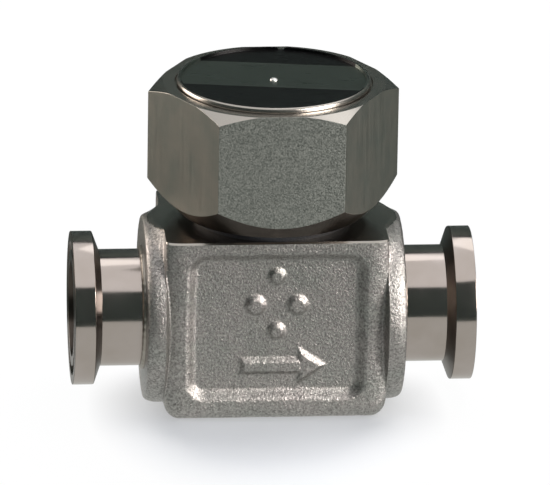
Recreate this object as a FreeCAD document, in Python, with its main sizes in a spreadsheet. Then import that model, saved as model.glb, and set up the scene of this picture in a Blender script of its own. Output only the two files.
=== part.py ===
import FreeCAD, Part
import os
import types

import Sketcher

# An in-line disc steam trap with a screwed hexagon cap and welded clamp ferrules.
# Millimetres. The flow axis lies along X, inlet at -X and outlet at +X. The cap's axis is Z.
# The origin is on the cap's axis, at the level of the body's flat underside.

# Driving dimensions, all lengths in millimetres, copied to the document's sheet.
# What follows from them is worked out in work_out().
DRIVING_DIMENSIONS = {
    # Clamp ferrules, 3/4 inch size
    "flange_radius": 12.5,
    "rim_thickness": 3.4,
    "taper_slope": 0.364,
    "edge_break": 0.2,
    "tube_radius": 9.5,
    "tube_wall": 1.6,
    "seal_groove_offset": 2.3,
    "seal_groove_section": 0.75,
    "ferrule_reach": 11.0,
    "socket_depth": 2.1,
    "weld_leg": 0.6,
    "joint_clearance": 0.03,
    # Cast body
    "block_length": 36.0,
    "block_width": 26.5,
    "block_corner": 3.0,
    "block_foot_edge": 2.5,
    "foot_clearance": 0.2,
    "top_clearance": 0.6,
    "boss_radius": 15.0,
    "boss_reach": 3.5,
    "boss_overlap": 0.1,
    "boss_edge": 0.9,
    "waist_inset": 0.65,
    "shoulder_rise": 1.65,
    "shoulder_run": 1.7,
    "shoulder_arc": 100.0,
    "panel_side_margin": 5.0,
    "panel_low": 4.7,
    "panel_top_margin": 2.8,
    "panel_depth": 0.9,
    "panel_corner": 2.0,
    # Flow arrow, raised from the front panel
    "arrow_tail": 5.6,
    "arrow_tip": 7.7,
    "arrow_head_length": 3.9,
    "arrow_shaft_half": 1.1,
    "arrow_head_half": 2.7,
    "arrow_level": 9.2,
    "arrow_relief": 0.5,
    # Screwed neck and the bores of the body
    "neck_wall": 2.33,
    "neck_height": 7.6,
    "neck_lead": 0.8,
    "ledge_rise": 1.5,
    "chamber_gap": 0.7,
    "chamber_floor": 6.5,
    "inner_land": 1.3,
    "gallery_width": 1.7,
    "gallery_depth": 3.7,
    "outer_land": 0.9,
    "port_radius": 4.6,
    "port_cone_run": 3.4,
    "riser_radius": 1.5,
    "riser_inset": 0.3,
    # Hexagon cap
    "across_flats": 35.2,
    "cap_foot_radius": 15.25,
    "crown_land": 2.0,
    "crown_cone_slope": 0.6,
    "crown_thickness": 4.9,
    "crown_air_gap": 1.4,
    "thread_clearance": 0.07,
    "thread_relief": 0.8,
    "holder_clearance": 0.3,
    "plate_clearance": 0.25,
    "plate_recess_depth": 0.45,
    # Cap gasket
    "gasket_thickness": 1.6,
    "gasket_clearance": 0.22,
    "gasket_width": 1.6,
    # Nameplate and its drive pin
    "plate_radius": 15.7,
    "plate_thickness": 0.75,
    "plate_rim_width": 0.7,
    "plate_rim_height": 1.25,
    "pin_radius": 0.35,
    "pin_length": 3.0,
    "pin_head_radius": 0.65,
    "pin_head_height": 0.35,
    # Valve seat and its gaskets
    "seat_gasket_thickness": 0.8,
    "gasket_land": 0.12,
    "seat_clearance": 0.1,
    "flange_lift": 1.0,
    "flange_overhang": 0.4,
    "flange_thickness": 0.8,
    "ring_height": 0.4,
    "seat_hole_radius": 1.6,
    "inner_ring_width": 0.9,
    "outer_ring_radius": 5.8,
    "outer_ring_width": 0.8,
    "seat_channel_depth": 1.0,
    "drain_radius": 0.7,
    "drain_angle": 20.0,
    "drain_shift": 0.25,
    "seat_socket_depth": 2.4,
    # Valve disc, air vent ring and disc guide ring
    "disc_overlap": 0.6,
    "disc_thickness": 2.2,
    "disc_lift": 1.4,
    "disc_recess_radius": 4.2,
    "disc_recess_depth": 0.35,
    "stop_clearance": 0.1,
    "vent_ring_clearance": 0.15,
    "vent_ring_width": 0.95,
    "vent_ring_thickness": 0.3,
    "vent_ring_opening": 1.6,
    "guide_clearance": 0.1,
    "guide_wall": 0.94,
    "guide_fit": 0.06,
    "guide_foot_height": 0.5,
    "guide_height": 3.2,
    # Inner cap and snap ring
    "holder_lift": 0.15,
    "holder_skirt_wall": 0.84,
    "holder_skirt_height": 1.8,
    "holder_crown_wall": 1.5,
    "holder_crown_edge": 1.0,
    "holder_roof": 2.6,
    "flange_fit": 0.06,
    "snap_ring_gap": 0.08,
    "snap_ring_thickness": 0.5,
    "snap_ring_opening": 4.0,
    "snap_groove_depth": 0.35,
    # Strainer
    "screen_radius": 3.9,
    "screen_wall": 0.25,
    "screen_floor_gap": 1.0,
    "screen_hole_radius": 0.55,
    "collar_wall": 0.4,
    "collar_height": 2.0,
    "collar_drop": 0.5,
    "end_disc_thickness": 0.6,
}

SCREEN_ROWS = 8
SCREEN_COLUMNS = 5
DRAIN_COUNT = 3
SHEET = "Dims"
FULL_TURN = 360
QUARTER_TURN = 1.5707963267948966
COSINE_30 = 0.8660254037844386


class Size:
    """A length that carries its number and the sheet expression that it comes from."""

    def __init__(self, number, words):
        self.number = number
        self.words = words

    def __add__(self, other):
        other = as_size(other)
        return Size(self.number + other.number, f"({self.words} + {other.words})")

    def __sub__(self, other):
        other = as_size(other)
        return Size(self.number - other.number, f"({self.words} - {other.words})")

    def __mul__(self, other):
        other = as_size(other)
        return Size(self.number * other.number, f"({self.words} * {other.words})")

    def __truediv__(self, other):
        other = as_size(other)
        return Size(self.number / other.number, f"({self.words} / {other.words})")

    def __neg__(self):
        return Size(-self.number, f"(-1 * {self.words})")


def as_size(value):
    """Take a plain number as a length of that number."""
    return value if isinstance(value, Size) else Size(float(value), str(value))


def make_sheet(document):
    """Write the driving dimensions to the sheet and return them as named lengths."""
    sheet = document.addObject("Spreadsheet::Sheet", SHEET)
    for row, (name, number) in enumerate(DRIVING_DIMENSIONS.items(), start=1):
        sheet.set(f"A{row}", name)
        sheet.set(f"B{row}", str(number))
        sheet.setAlias(f"B{row}", name)
    document.recompute()
    lengths = {name: Size(number, f"{SHEET}.{name}") for name, number in DRIVING_DIMENSIONS.items()}
    return types.SimpleNamespace(**lengths)


def work_out(dims):
    """Add the sizes and levels that follow from the driving ones. Levels are above the underside."""
    # Along the flow
    dims.boss_span = dims.block_length + dims.boss_reach * 2
    dims.face_to_face = dims.boss_span + dims.ferrule_reach * 2
    dims.tube_bore_radius = dims.tube_radius - dims.tube_wall
    # Up the cap's axis, from the underside to the cap's crown
    dims.axis_height = dims.boss_radius + dims.foot_clearance
    dims.block_height = dims.axis_height + dims.boss_radius + dims.top_clearance
    dims.cap_level = dims.block_height + dims.gasket_thickness
    dims.ledge_level = dims.block_height + dims.ledge_rise
    dims.gallery_floor = dims.ledge_level - dims.gallery_depth
    dims.neck_top = dims.block_height + dims.neck_height
    dims.seat_level = dims.ledge_level + dims.seat_gasket_thickness
    dims.seat_flange_foot = dims.neck_top + dims.flange_lift
    dims.seat_flange_top = dims.seat_flange_foot + dims.flange_thickness
    dims.seat_face_level = dims.seat_flange_top + dims.ring_height
    dims.holder_foot = dims.neck_top + dims.holder_lift
    dims.shoulder_level = dims.seat_flange_top + dims.holder_skirt_height
    dims.disc_stop = dims.seat_face_level + dims.disc_thickness + dims.disc_lift + dims.stop_clearance
    dims.holder_top = dims.disc_stop + dims.holder_roof
    dims.crown_ceiling = dims.holder_top + dims.crown_air_gap
    dims.plate_level = dims.crown_ceiling + dims.crown_thickness
    dims.cap_top = dims.plate_level + dims.plate_recess_depth
    # Out from the cap's axis, from the strainer to the cap's bore
    dims.chamber_radius = dims.screen_radius + dims.chamber_gap
    dims.collar_radius = dims.screen_radius + dims.collar_wall
    dims.gallery_inner_radius = dims.chamber_radius + dims.inner_land
    dims.gallery_outer_radius = dims.gallery_inner_radius + dims.gallery_width
    dims.seat_radius = dims.gallery_outer_radius + dims.outer_land
    dims.neck_bore_radius = dims.seat_radius + dims.seat_clearance
    dims.neck_radius = dims.neck_bore_radius + dims.neck_wall
    dims.seat_flange_radius = dims.seat_radius + dims.flange_overhang
    dims.disc_radius = dims.outer_ring_radius + dims.disc_overlap
    dims.vent_ring_inner = dims.outer_ring_radius + dims.vent_ring_clearance
    dims.vent_ring_radius = dims.vent_ring_inner + dims.vent_ring_width
    dims.guide_radius = dims.disc_radius + dims.guide_clearance + dims.guide_wall
    dims.holder_chamber_radius = dims.guide_radius + dims.guide_fit
    dims.holder_crown_radius = dims.holder_chamber_radius + dims.holder_crown_wall
    dims.holder_skirt_bore = dims.seat_flange_radius + dims.flange_fit
    dims.holder_skirt_radius = dims.holder_skirt_bore + dims.holder_skirt_wall
    dims.holder_bore_radius = dims.holder_skirt_radius + dims.holder_clearance
    dims.crown_bore_radius = dims.holder_crown_radius + dims.holder_clearance
    dims.plate_recess_radius = dims.plate_radius + dims.plate_clearance
    dims.crown_radius = dims.plate_recess_radius + dims.crown_land
    return dims


def bind(item, name, size):
    """Tie one property of an object to the sheet."""
    item.setExpression(name, as_size(size).words)


def new_body(document, label):
    """Start a sub-part."""
    body = document.addObject("PartDesign::Body", label)
    body.Label = label
    return body


def origin_part(body, role):
    """Find a plane or an axis of the body's own origin."""
    return next(item for item in body.Origin.OriginFeatures if item.Role == role)


def new_sketch(body, name, role):
    """Start a sketch on one of the body's origin planes."""
    sketch = body.newObject("Sketcher::SketchObject", name)
    sketch.AttachmentSupport = [(origin_part(body, role), "")]
    sketch.MapMode = "FlatFace"
    return sketch


def bind_constraint(sketch, index, size):
    """Name a constraint after its number and tie it to the sheet."""
    name = f"size_{index}"
    sketch.renameConstraint(index, name)
    bind(sketch, f"Constraints.{name}", size)


def hold_point(sketch, geometry, end, point):
    """Hold a point by its two distances from the sketch's origin."""
    for kind, other_axis, size in (("DistanceX", -2, point[0]), ("DistanceY", -1, point[1])):
        size = as_size(size)
        if size.number == 0:
            sketch.addConstraint(Sketcher.Constraint("PointOnObject", geometry, end, other_axis))
        elif size.number > 0:
            rule = Sketcher.Constraint(kind, -1, 1, geometry, end, size.number)
            bind_constraint(sketch, sketch.addConstraint(rule), size)
        else:
            rule = Sketcher.Constraint(kind, geometry, end, -1, 1, -size.number)
            bind_constraint(sketch, sketch.addConstraint(rule), -size)


def vector(point):
    """Give a point of a sketch as a vector."""
    return FreeCAD.Vector(as_size(point[0]).number, as_size(point[1]).number, 0)


def add_outline(sketch, points):
    """Draw a closed polygon and hold each of its corners."""
    first = sketch.GeometryCount
    count = len(points)
    for index, point in enumerate(points):
        following = points[(index + 1) % count]
        sketch.addGeometry(Part.LineSegment(vector(point), vector(following)))
    for index, point in enumerate(points):
        following = first + (index + 1) % count
        sketch.addConstraint(Sketcher.Constraint("Coincident", first + index, 2, following, 1))
        hold_point(sketch, first + index, 1, point)


def add_circle(sketch, centre, radius):
    """Draw a circle and hold its centre and radius."""
    index = sketch.addGeometry(Part.Circle(vector(centre), FreeCAD.Vector(0, 0, 1), radius.number))
    hold_point(sketch, index, 3, centre)
    rule = Sketcher.Constraint("Radius", index, radius.number)
    bind_constraint(sketch, sketch.addConstraint(rule), radius)


def add_rounded_rectangle(sketch, half_width, low, high, radius):
    """Draw a rectangle with round corners, centred across the sketch."""
    centres = (
        (half_width - radius, high - radius),
        (-(half_width - radius), high - radius),
        (-(half_width - radius), low + radius),
        (half_width - radius, low + radius),
    )
    corners = []
    for turn, centre in enumerate(centres):
        circle = Part.Circle(vector(centre), FreeCAD.Vector(0, 0, 1), radius.number)
        quarter = Part.ArcOfCircle(circle, turn * QUARTER_TURN, (turn + 1) * QUARTER_TURN)
        corners.append(sketch.addGeometry(quarter))
    for turn, corner in enumerate(corners):
        following = corners[(turn + 1) % len(corners)]
        start = sketch.getPoint(corner, 2)
        finish = sketch.getPoint(following, 1)
        side = sketch.addGeometry(Part.LineSegment(start, finish))
        sketch.addConstraint(Sketcher.Constraint("Tangent", corner, 2, side, 1))
        sketch.addConstraint(Sketcher.Constraint("Tangent", side, 2, following, 1))
    for corner, centre in zip(corners, centres):
        hold_point(sketch, corner, 3, centre)
        rule = Sketcher.Constraint("Radius", corner, radius.number)
        bind_constraint(sketch, sketch.addConstraint(rule), radius)


def turn_profile(body, kind, name, axis, points):
    """Turn a closed profile about an axis of its sketch: V_Axis is Z, H_Axis is X."""
    sketch = new_sketch(body, f"{name}_profile", "XZ_Plane")
    add_outline(sketch, points)
    feature = body.newObject(kind, name)
    feature.Profile = sketch
    feature.ReferenceAxis = (sketch, [axis])
    feature.Angle = FULL_TURN
    return feature


def turned(body, name, axis, points):
    """Add a turned solid."""
    return turn_profile(body, "PartDesign::Revolution", name, axis, points)


def turned_away(body, name, axis, points):
    """Cut a turned space."""
    return turn_profile(body, "PartDesign::Groove", name, axis, points)


def lift_sketch(sketch, height):
    """Move a sketch along its plane's normal."""
    bind(sketch, "AttachmentOffset.Base.z", height)


def pad(body, name, sketch, length):
    """Raise a sketch along its normal."""
    feature = body.newObject("PartDesign::Pad", name)
    feature.Profile = sketch
    bind(feature, "Length", length)
    return feature


def pocket(body, name, sketch, length, reversed_cut):
    """Cut a sketch to a depth, against its normal unless reversed."""
    feature = body.newObject("PartDesign::Pocket", name)
    feature.Profile = sketch
    feature.Reversed = reversed_cut
    bind(feature, "Length", length)
    return feature


def fillet(body, name, edges, radius):
    """Round the named edges of the body's last feature."""
    base = body.Tip
    feature = body.newObject("PartDesign::Fillet", name)
    feature.Base = (base, edges)
    bind(feature, "Radius", radius)
    return feature


def edge_names(shape, chosen):
    """List the names of the edges for which the test holds."""
    return [f"Edge{index}" for index, edge in enumerate(shape.Edges, start=1) if chosen(edge)]


def place(body, east=0, up=0):
    """Put a sub-part's own origin on the trap."""
    bind(body, "Placement.Base.x", east)
    bind(body, "Placement.Base.z", up)


def make_trap_body(document, dims):
    """The casting: block, end bosses, screwed neck, bores, panels and flow arrow."""
    body = new_body(document, "trap_body")
    place(body, up=dims.axis_height)
    top = dims.block_height - dims.axis_height
    cast_block(document, body, dims)
    cast_bosses(document, body, dims, top)
    turn_neck(body, dims, top)
    bore_chambers(body, dims)
    bore_ports(body, dims)
    sink_panels(document, body, dims)
    raise_arrow(body, dims)
    return body


def cast_block(document, body, dims):
    """The block, with round upright corners and a round foot edge."""
    sketch = new_sketch(body, "block_plan", "XY_Plane")
    half_width = dims.block_width / 2
    add_rounded_rectangle(sketch, dims.block_length / 2, -half_width, half_width, dims.block_corner)
    lift_sketch(sketch, -dims.axis_height)
    block = pad(body, "block", sketch, dims.block_height)
    document.recompute()
    foot = -dims.axis_height.number
    at_foot = edge_names(block.Shape, lambda edge: abs(edge.BoundBox.ZMax - foot) < 1e-4)
    fillet(body, "foot_edge", at_foot, dims.block_foot_edge)


def cast_bosses(document, body, dims, top):
    """The round end bosses and the sloping shoulders that run from them up to the top."""
    reach = dims.boss_span / 2
    inner = dims.block_length / 2 - dims.boss_overlap
    half_boss = (
        (inner, dims.block_width / 2 - dims.waist_inset),
        (inner, dims.boss_radius - dims.boss_edge / 2),
        (inner + dims.boss_edge / 2, dims.boss_radius),
        (reach - dims.boss_edge, dims.boss_radius),
        (reach, dims.boss_radius - dims.boss_edge),
        (reach, 0),
    )
    other_half = tuple((-as_size(along), radius) for along, radius in reversed(half_boss))
    turned(body, "bosses", "H_Axis", half_boss + other_half)
    half = dims.block_length / 2
    shoulders = turned(body, "shoulders", "H_Axis", (
        (-(half + dims.shoulder_run), 0),
        (-(half + dims.shoulder_run), dims.boss_radius),
        (-half, dims.boss_radius + dims.shoulder_rise),
        (half, dims.boss_radius + dims.shoulder_rise),
        (half + dims.shoulder_run, dims.boss_radius),
        (half + dims.shoulder_run, 0),
    ))
    shoulders.Midplane = True
    bind(shoulders, "Angle", dims.shoulder_arc)
    document.recompute()
    sketch = new_sketch(body, "top_cut_plan", "XY_Plane")
    half_width = dims.block_width / 2
    add_outline(sketch, (
        (-reach, -half_width),
        (reach, -half_width),
        (reach, half_width),
        (-reach, half_width),
    ))
    lift_sketch(sketch, top)
    pocket(body, "top_cut", sketch, dims.neck_top - dims.block_height, True)


def turn_neck(body, dims, top):
    """The screwed neck, drawn at its pitch surface, with a chamfered lead."""
    crest = dims.neck_top - dims.axis_height
    turned(body, "neck", "V_Axis", (
        (0, top - dims.neck_lead),
        (dims.neck_radius, top - dims.neck_lead),
        (dims.neck_radius, crest - dims.neck_lead),
        (dims.neck_radius - dims.neck_lead, crest),
        (0, crest),
    ))


def bore_chambers(body, dims):
    """The strainer chamber, the seat bore above it and the ring-shaped outlet gallery."""
    crest = dims.neck_top - dims.axis_height
    ledge = dims.ledge_level - dims.axis_height
    floor = dims.chamber_floor - dims.axis_height
    turned_away(body, "chamber", "V_Axis", (
        (0, floor),
        (dims.chamber_radius, floor),
        (dims.chamber_radius, ledge),
        (dims.neck_bore_radius, ledge),
        (dims.neck_bore_radius, crest),
        (0, crest),
    ))
    gallery_floor = dims.gallery_floor - dims.axis_height
    turned_away(body, "gallery", "V_Axis", (
        (dims.gallery_inner_radius, gallery_floor),
        (dims.gallery_outer_radius, gallery_floor),
        (dims.gallery_outer_radius, ledge),
        (dims.gallery_inner_radius, ledge),
    ))


def bore_ports(body, dims):
    """The ferrule sockets, the two ports and the riser from the outlet port to the gallery."""
    reach = dims.boss_span / 2
    socket = dims.tube_radius + dims.joint_clearance
    socket_end = reach - dims.socket_depth
    cone_start = socket_end
    cone_end = cone_start - dims.port_cone_run
    turned_away(body, "inlet_port", "H_Axis", (
        (-reach, 0),
        (-reach, socket),
        (-socket_end, socket),
        (-socket_end, dims.tube_bore_radius),
        (-cone_end, dims.port_radius),
        (-(dims.chamber_radius / 2), dims.port_radius),
        (-(dims.chamber_radius / 2), 0),
    ))
    riser_offset = dims.gallery_outer_radius - dims.riser_inset
    blind_end = riser_offset - dims.riser_radius
    turned_away(body, "outlet_port", "H_Axis", (
        (reach, 0),
        (reach, socket),
        (socket_end, socket),
        (socket_end, dims.tube_bore_radius),
        (cone_end, dims.port_radius),
        (blind_end, dims.port_radius),
        (blind_end, 0),
    ))
    sketch = new_sketch(body, "riser_plan", "XY_Plane")
    add_circle(sketch, (riser_offset, 0), dims.riser_radius)
    pocket(body, "riser", sketch, dims.gallery_floor - dims.axis_height, True)


def sink_panels(document, body, dims):
    """The shallow panels in the front and back faces."""
    for name, outward in (("front_panel", -1), ("back_panel", 1)):
        sketch = new_sketch(body, f"{name}_outline", "XZ_Plane")
        low = dims.panel_low - dims.axis_height
        high = dims.block_height - dims.panel_top_margin - dims.axis_height
        half_width = dims.block_length / 2 - dims.panel_side_margin
        add_rounded_rectangle(sketch, half_width, low, high, dims.panel_corner)
        lift_sketch(sketch, -(dims.block_width / 2 * outward))
        pocket(body, name, sketch, dims.panel_depth, outward > 0)
        document.recompute()


def raise_arrow(body, dims):
    """The flow arrow on the front panel, pointing to the outlet."""
    sketch = new_sketch(body, "arrow_outline", "XZ_Plane")
    middle = dims.arrow_level - dims.axis_height
    neck = dims.arrow_tip - dims.arrow_head_length
    add_outline(sketch, (
        (-dims.arrow_tail, middle - dims.arrow_shaft_half),
        (neck, middle - dims.arrow_shaft_half),
        (neck, middle - dims.arrow_head_half),
        (dims.arrow_tip, middle),
        (neck, middle + dims.arrow_head_half),
        (neck, middle + dims.arrow_shaft_half),
        (-dims.arrow_tail, middle + dims.arrow_shaft_half),
    ))
    lift_sketch(sketch, dims.block_width / 2 - dims.panel_depth)
    pad(body, "arrow", sketch, dims.arrow_relief)


def make_ferrule(document, dims, label, side):
    """A clamp ferrule with its seal groove. Its own X runs from its face into the body."""
    body = new_body(document, label)
    body.Placement.Rotation = FreeCAD.Rotation(FreeCAD.Vector(0, 0, 1), 0 if side < 0 else 180)
    place(body, dims.face_to_face / 2 * side, dims.axis_height)
    length = dims.ferrule_reach + dims.socket_depth
    taper_run = (dims.flange_radius - dims.tube_radius) * dims.taper_slope
    edge = dims.edge_break
    turned(body, "ferrule", "H_Axis", (
        (0, dims.tube_bore_radius),
        (0, dims.flange_radius - edge),
        (edge, dims.flange_radius),
        (dims.rim_thickness - edge, dims.flange_radius),
        (dims.rim_thickness, dims.flange_radius - edge),
        (dims.rim_thickness + taper_run, dims.tube_radius),
        (length, dims.tube_radius),
        (length, dims.tube_bore_radius),
    ))
    sketch = new_sketch(body, "seal_groove_section", "XZ_Plane")
    add_circle(sketch, (0, dims.tube_bore_radius + dims.seal_groove_offset), dims.seal_groove_section)
    groove = body.newObject("PartDesign::Groove", "seal_groove")
    groove.Profile = sketch
    groove.ReferenceAxis = (sketch, ["H_Axis"])
    groove.Angle = FULL_TURN
    return body


def make_weld_bead(document, dims, label, side):
    """The quarter-round weld bead where a ferrule enters its boss."""
    bead = document.addObject("Part::Torus", label)
    bead.Label = label
    bind(bead, "Radius1", dims.tube_radius + dims.joint_clearance)
    bind(bead, "Radius2", dims.weld_leg)
    bead.Angle1 = 0
    bead.Angle2 = 90
    bead.Placement.Rotation = FreeCAD.Rotation(FreeCAD.Vector(0, 1, 0), -90 * side)
    place(bead, dims.boss_span / 2 * side, dims.axis_height)
    return bead


def make_hex_cap(document, dims):
    """The hexagon cap, screwed on the neck, with its two stepped bores. Local z 0 is its foot."""
    body = new_body(document, "hex_cap")
    place(body, up=dims.cap_level)
    circumradius = dims.across_flats / 2 / COSINE_30
    height = dims.cap_top - dims.cap_level
    sketch = new_sketch(body, "hexagon", "XY_Plane")
    half = circumradius / 2
    flat = dims.across_flats / 2
    add_outline(sketch, (
        (circumradius, 0),
        (half, flat),
        (-half, flat),
        (-circumradius, 0),
        (-half, -flat),
        (half, -flat),
    ))
    pad(body, "blank", sketch, height)
    turned_away(body, "foot_cone", "V_Axis", (
        (dims.cap_foot_radius, 0),
        (circumradius, 0),
        (circumradius, circumradius - dims.cap_foot_radius),
    ))
    crown_cone_drop = (circumradius - dims.crown_radius) * dims.crown_cone_slope
    turned_away(body, "crown_cone", "V_Axis", (
        (dims.crown_radius, height),
        (circumradius, height - crown_cone_drop),
        (circumradius, height),
    ))
    thread_radius = dims.neck_radius + dims.thread_clearance
    thread_top = dims.neck_top + dims.thread_relief - dims.cap_level
    shoulder = dims.shoulder_level - dims.cap_level
    ceiling = dims.crown_ceiling - dims.cap_level
    turned_away(body, "bores", "V_Axis", (
        (0, 0),
        (thread_radius, 0),
        (thread_radius, thread_top),
        (dims.holder_bore_radius, thread_top),
        (dims.holder_bore_radius, shoulder),
        (dims.crown_bore_radius, shoulder),
        (dims.crown_bore_radius, ceiling),
        (0, ceiling),
    ))
    recess_floor = dims.plate_level - dims.cap_level
    turned_away(body, "plate_recess", "V_Axis", (
        (0, recess_floor),
        (dims.plate_recess_radius, recess_floor),
        (dims.plate_recess_radius, height),
        (0, height),
    ))
    pin_floor = recess_floor + dims.plate_thickness - dims.pin_length
    turned_away(body, "pin_hole", "V_Axis", (
        (0, pin_floor),
        (dims.pin_radius + dims.joint_clearance, pin_floor),
        (dims.pin_radius + dims.joint_clearance, recess_floor),
        (0, recess_floor),
    ))
    return body


def make_cap_gasket(document, dims):
    """The flat ring that seals the cap's foot to the body's machined top."""
    body = new_body(document, "cap_gasket")
    place(body, up=dims.block_height)
    inner = dims.neck_radius + dims.gasket_clearance
    outer = inner + dims.gasket_width
    turned(body, "gasket", "V_Axis", (
        (inner, 0),
        (outer, 0),
        (outer, dims.gasket_thickness),
        (inner, dims.gasket_thickness),
    ))
    return body


def make_nameplate(document, dims):
    """The round plate in the cap's crown, with a raised rolled rim and a pin hole."""
    body = new_body(document, "nameplate")
    place(body, up=dims.plate_level)
    hole = dims.pin_radius + dims.joint_clearance
    roll = dims.plate_rim_width / 4
    inner = dims.plate_radius - dims.plate_rim_width
    turned(body, "plate", "V_Axis", (
        (hole, 0),
        (dims.plate_radius, 0),
        (dims.plate_radius, dims.plate_rim_height - roll),
        (dims.plate_radius - roll, dims.plate_rim_height),
        (inner + roll, dims.plate_rim_height),
        (inner, dims.plate_rim_height - roll),
        (inner, dims.plate_thickness),
        (hole, dims.plate_thickness),
    ))
    return body


def make_nameplate_pin(document, dims):
    """The drive pin that fixes the nameplate at its centre."""
    body = new_body(document, "nameplate_pin")
    place(body, up=dims.plate_level + dims.plate_thickness)
    turned(body, "pin", "V_Axis", (
        (0, -dims.pin_length),
        (dims.pin_radius, -dims.pin_length),
        (dims.pin_radius, 0),
        (dims.pin_head_radius, 0),
        (dims.pin_head_radius - dims.pin_head_height / 2, dims.pin_head_height),
        (0, dims.pin_head_height),
    ))
    return body


def make_seat(document, dims):
    """The valve seat: a port in the middle, two seating rings and slanted drain holes."""
    body = new_body(document, "valve_seat")
    base = dims.seat_level
    place(body, up=base)
    face = dims.seat_face_level - base
    channel = face - dims.seat_channel_depth
    flange_foot = dims.seat_flange_foot - base
    flange_top = dims.seat_flange_top - base
    socket = dims.collar_radius + dims.joint_clearance
    turned(body, "seat", "V_Axis", (
        (socket, 0),
        (dims.seat_radius, 0),
        (dims.seat_radius, flange_foot),
        (dims.seat_flange_radius, flange_foot),
        (dims.seat_flange_radius, flange_top),
        (dims.outer_ring_radius, flange_top),
        (dims.outer_ring_radius, face),
        (dims.outer_ring_radius - dims.outer_ring_width, face),
        (dims.outer_ring_radius - dims.outer_ring_width, channel),
        (dims.seat_hole_radius + dims.inner_ring_width, channel),
        (dims.seat_hole_radius + dims.inner_ring_width, face),
        (dims.seat_hole_radius, face),
        (dims.seat_hole_radius, dims.seat_socket_depth),
        (socket, dims.seat_socket_depth),
    ))
    document.recompute()
    drain = body.newObject("PartDesign::SubtractiveCylinder", "drain")
    drain.AttachmentSupport = [(origin_part(body, "XY_Plane"), "")]
    drain.MapMode = "FlatFace"
    tilt = FreeCAD.Rotation(FreeCAD.Vector(0, -1, 0), dims.drain_angle.number)
    drain.AttachmentOffset = FreeCAD.Placement(FreeCAD.Vector(0, 0, 0), tilt)
    bind(drain, "AttachmentOffset.Rotation.Angle", dims.drain_angle)
    gallery_middle = (dims.gallery_inner_radius + dims.gallery_outer_radius) / 2
    bind(drain, "AttachmentOffset.Base.x", gallery_middle + dims.drain_shift)
    bind(drain, "AttachmentOffset.Base.z", -dims.drain_radius)
    bind(drain, "Radius", dims.drain_radius)
    bind(drain, "Height", face + dims.drain_radius * 2)
    document.recompute()
    pattern = body.newObject("PartDesign::PolarPattern", "drains")
    pattern.Originals = [drain]
    pattern.Axis = (origin_part(body, "Z_Axis"), [""])
    pattern.Angle = FULL_TURN
    pattern.Occurrences = DRAIN_COUNT
    body.Tip = pattern
    return body


def make_seat_gasket(document, dims, label, inner, outer):
    """A flat ring between the seat and the body's ledge."""
    body = new_body(document, label)
    place(body, up=dims.ledge_level)
    turned(body, "ring", "V_Axis", (
        (inner, 0),
        (outer, 0),
        (outer, dims.seat_gasket_thickness),
        (inner, dims.seat_gasket_thickness),
    ))
    return body


def make_valve_disc(document, dims):
    """The free disc that opens and shuts the trap, with a shallow centre recess on top."""
    body = new_body(document, "valve_disc")
    place(body, up=dims.seat_face_level)
    edge = dims.edge_break
    turned(body, "disc", "V_Axis", (
        (0, 0),
        (dims.disc_radius - edge, 0),
        (dims.disc_radius, edge),
        (dims.disc_radius, dims.disc_thickness - edge),
        (dims.disc_radius - edge, dims.disc_thickness),
        (dims.disc_recess_radius, dims.disc_thickness),
        (dims.disc_recess_radius, dims.disc_thickness - dims.disc_recess_depth),
        (0, dims.disc_thickness - dims.disc_recess_depth),
    ))
    return body


def open_ring(body, opening, reach, thickness):
    """Cut a straight gap in a ring on its -Y side."""
    sketch = new_sketch(body, "opening_plan", "XY_Plane")
    half = opening / 2
    add_outline(sketch, ((-half, -reach), (half, -reach), (half, 0), (-half, 0)))
    return pocket(body, "opening", sketch, thickness, True)


def make_vent_ring(document, dims):
    """The split bimetal ring that props the disc open while the trap is cold."""
    body = new_body(document, "air_vent_ring")
    place(body, up=dims.seat_flange_top)
    turned(body, "ring", "V_Axis", (
        (dims.vent_ring_inner, 0),
        (dims.vent_ring_radius, 0),
        (dims.vent_ring_radius, dims.vent_ring_thickness),
        (dims.vent_ring_inner, dims.vent_ring_thickness),
    ))
    open_ring(body, dims.vent_ring_opening, dims.vent_ring_radius, dims.vent_ring_thickness)
    return body


def make_guide_ring(document, dims):
    """The ring inside the inner cap that guides the disc's rim and clears the vent ring."""
    body = new_body(document, "disc_guide_ring")
    place(body, up=dims.seat_flange_top)
    guide = dims.disc_radius + dims.guide_clearance
    foot = dims.vent_ring_radius + dims.vent_ring_clearance
    turned(body, "ring", "V_Axis", (
        (foot, 0),
        (dims.guide_radius, 0),
        (dims.guide_radius, dims.guide_height),
        (guide, dims.guide_height),
        (guide, dims.guide_foot_height),
        (foot, dims.guide_foot_height),
    ))
    return body


def make_inner_cap(document, dims):
    """The inner cap: holds the disc, stops its lift and clamps the seat on its gaskets."""
    body = new_body(document, "inner_cap")
    foot = dims.holder_foot
    place(body, up=foot)
    ceiling = dims.disc_stop - foot
    top = dims.holder_top - foot
    shoulder = dims.shoulder_level - foot
    flange_top = dims.seat_flange_top - foot
    skirt_bore = dims.holder_skirt_bore
    turned(body, "shell", "V_Axis", (
        (skirt_bore, 0),
        (dims.holder_skirt_radius, 0),
        (dims.holder_skirt_radius, shoulder),
        (dims.holder_crown_radius, shoulder),
        (dims.holder_crown_radius, top - dims.holder_crown_edge),
        (dims.holder_crown_radius - dims.holder_crown_edge, top),
        (0, top),
        (0, ceiling),
        (dims.holder_chamber_radius, ceiling),
        (dims.holder_chamber_radius, flange_top),
        (skirt_bore, flange_top),
    ))
    groove_top = dims.seat_flange_foot - foot
    groove_low = groove_top - dims.snap_ring_thickness
    groove = skirt_bore + dims.snap_groove_depth
    turned_away(body, "snap_groove", "V_Axis", (
        (skirt_bore, groove_low),
        (groove, groove_low),
        (groove, groove_top),
        (skirt_bore, groove_top),
    ))
    return body


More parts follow.
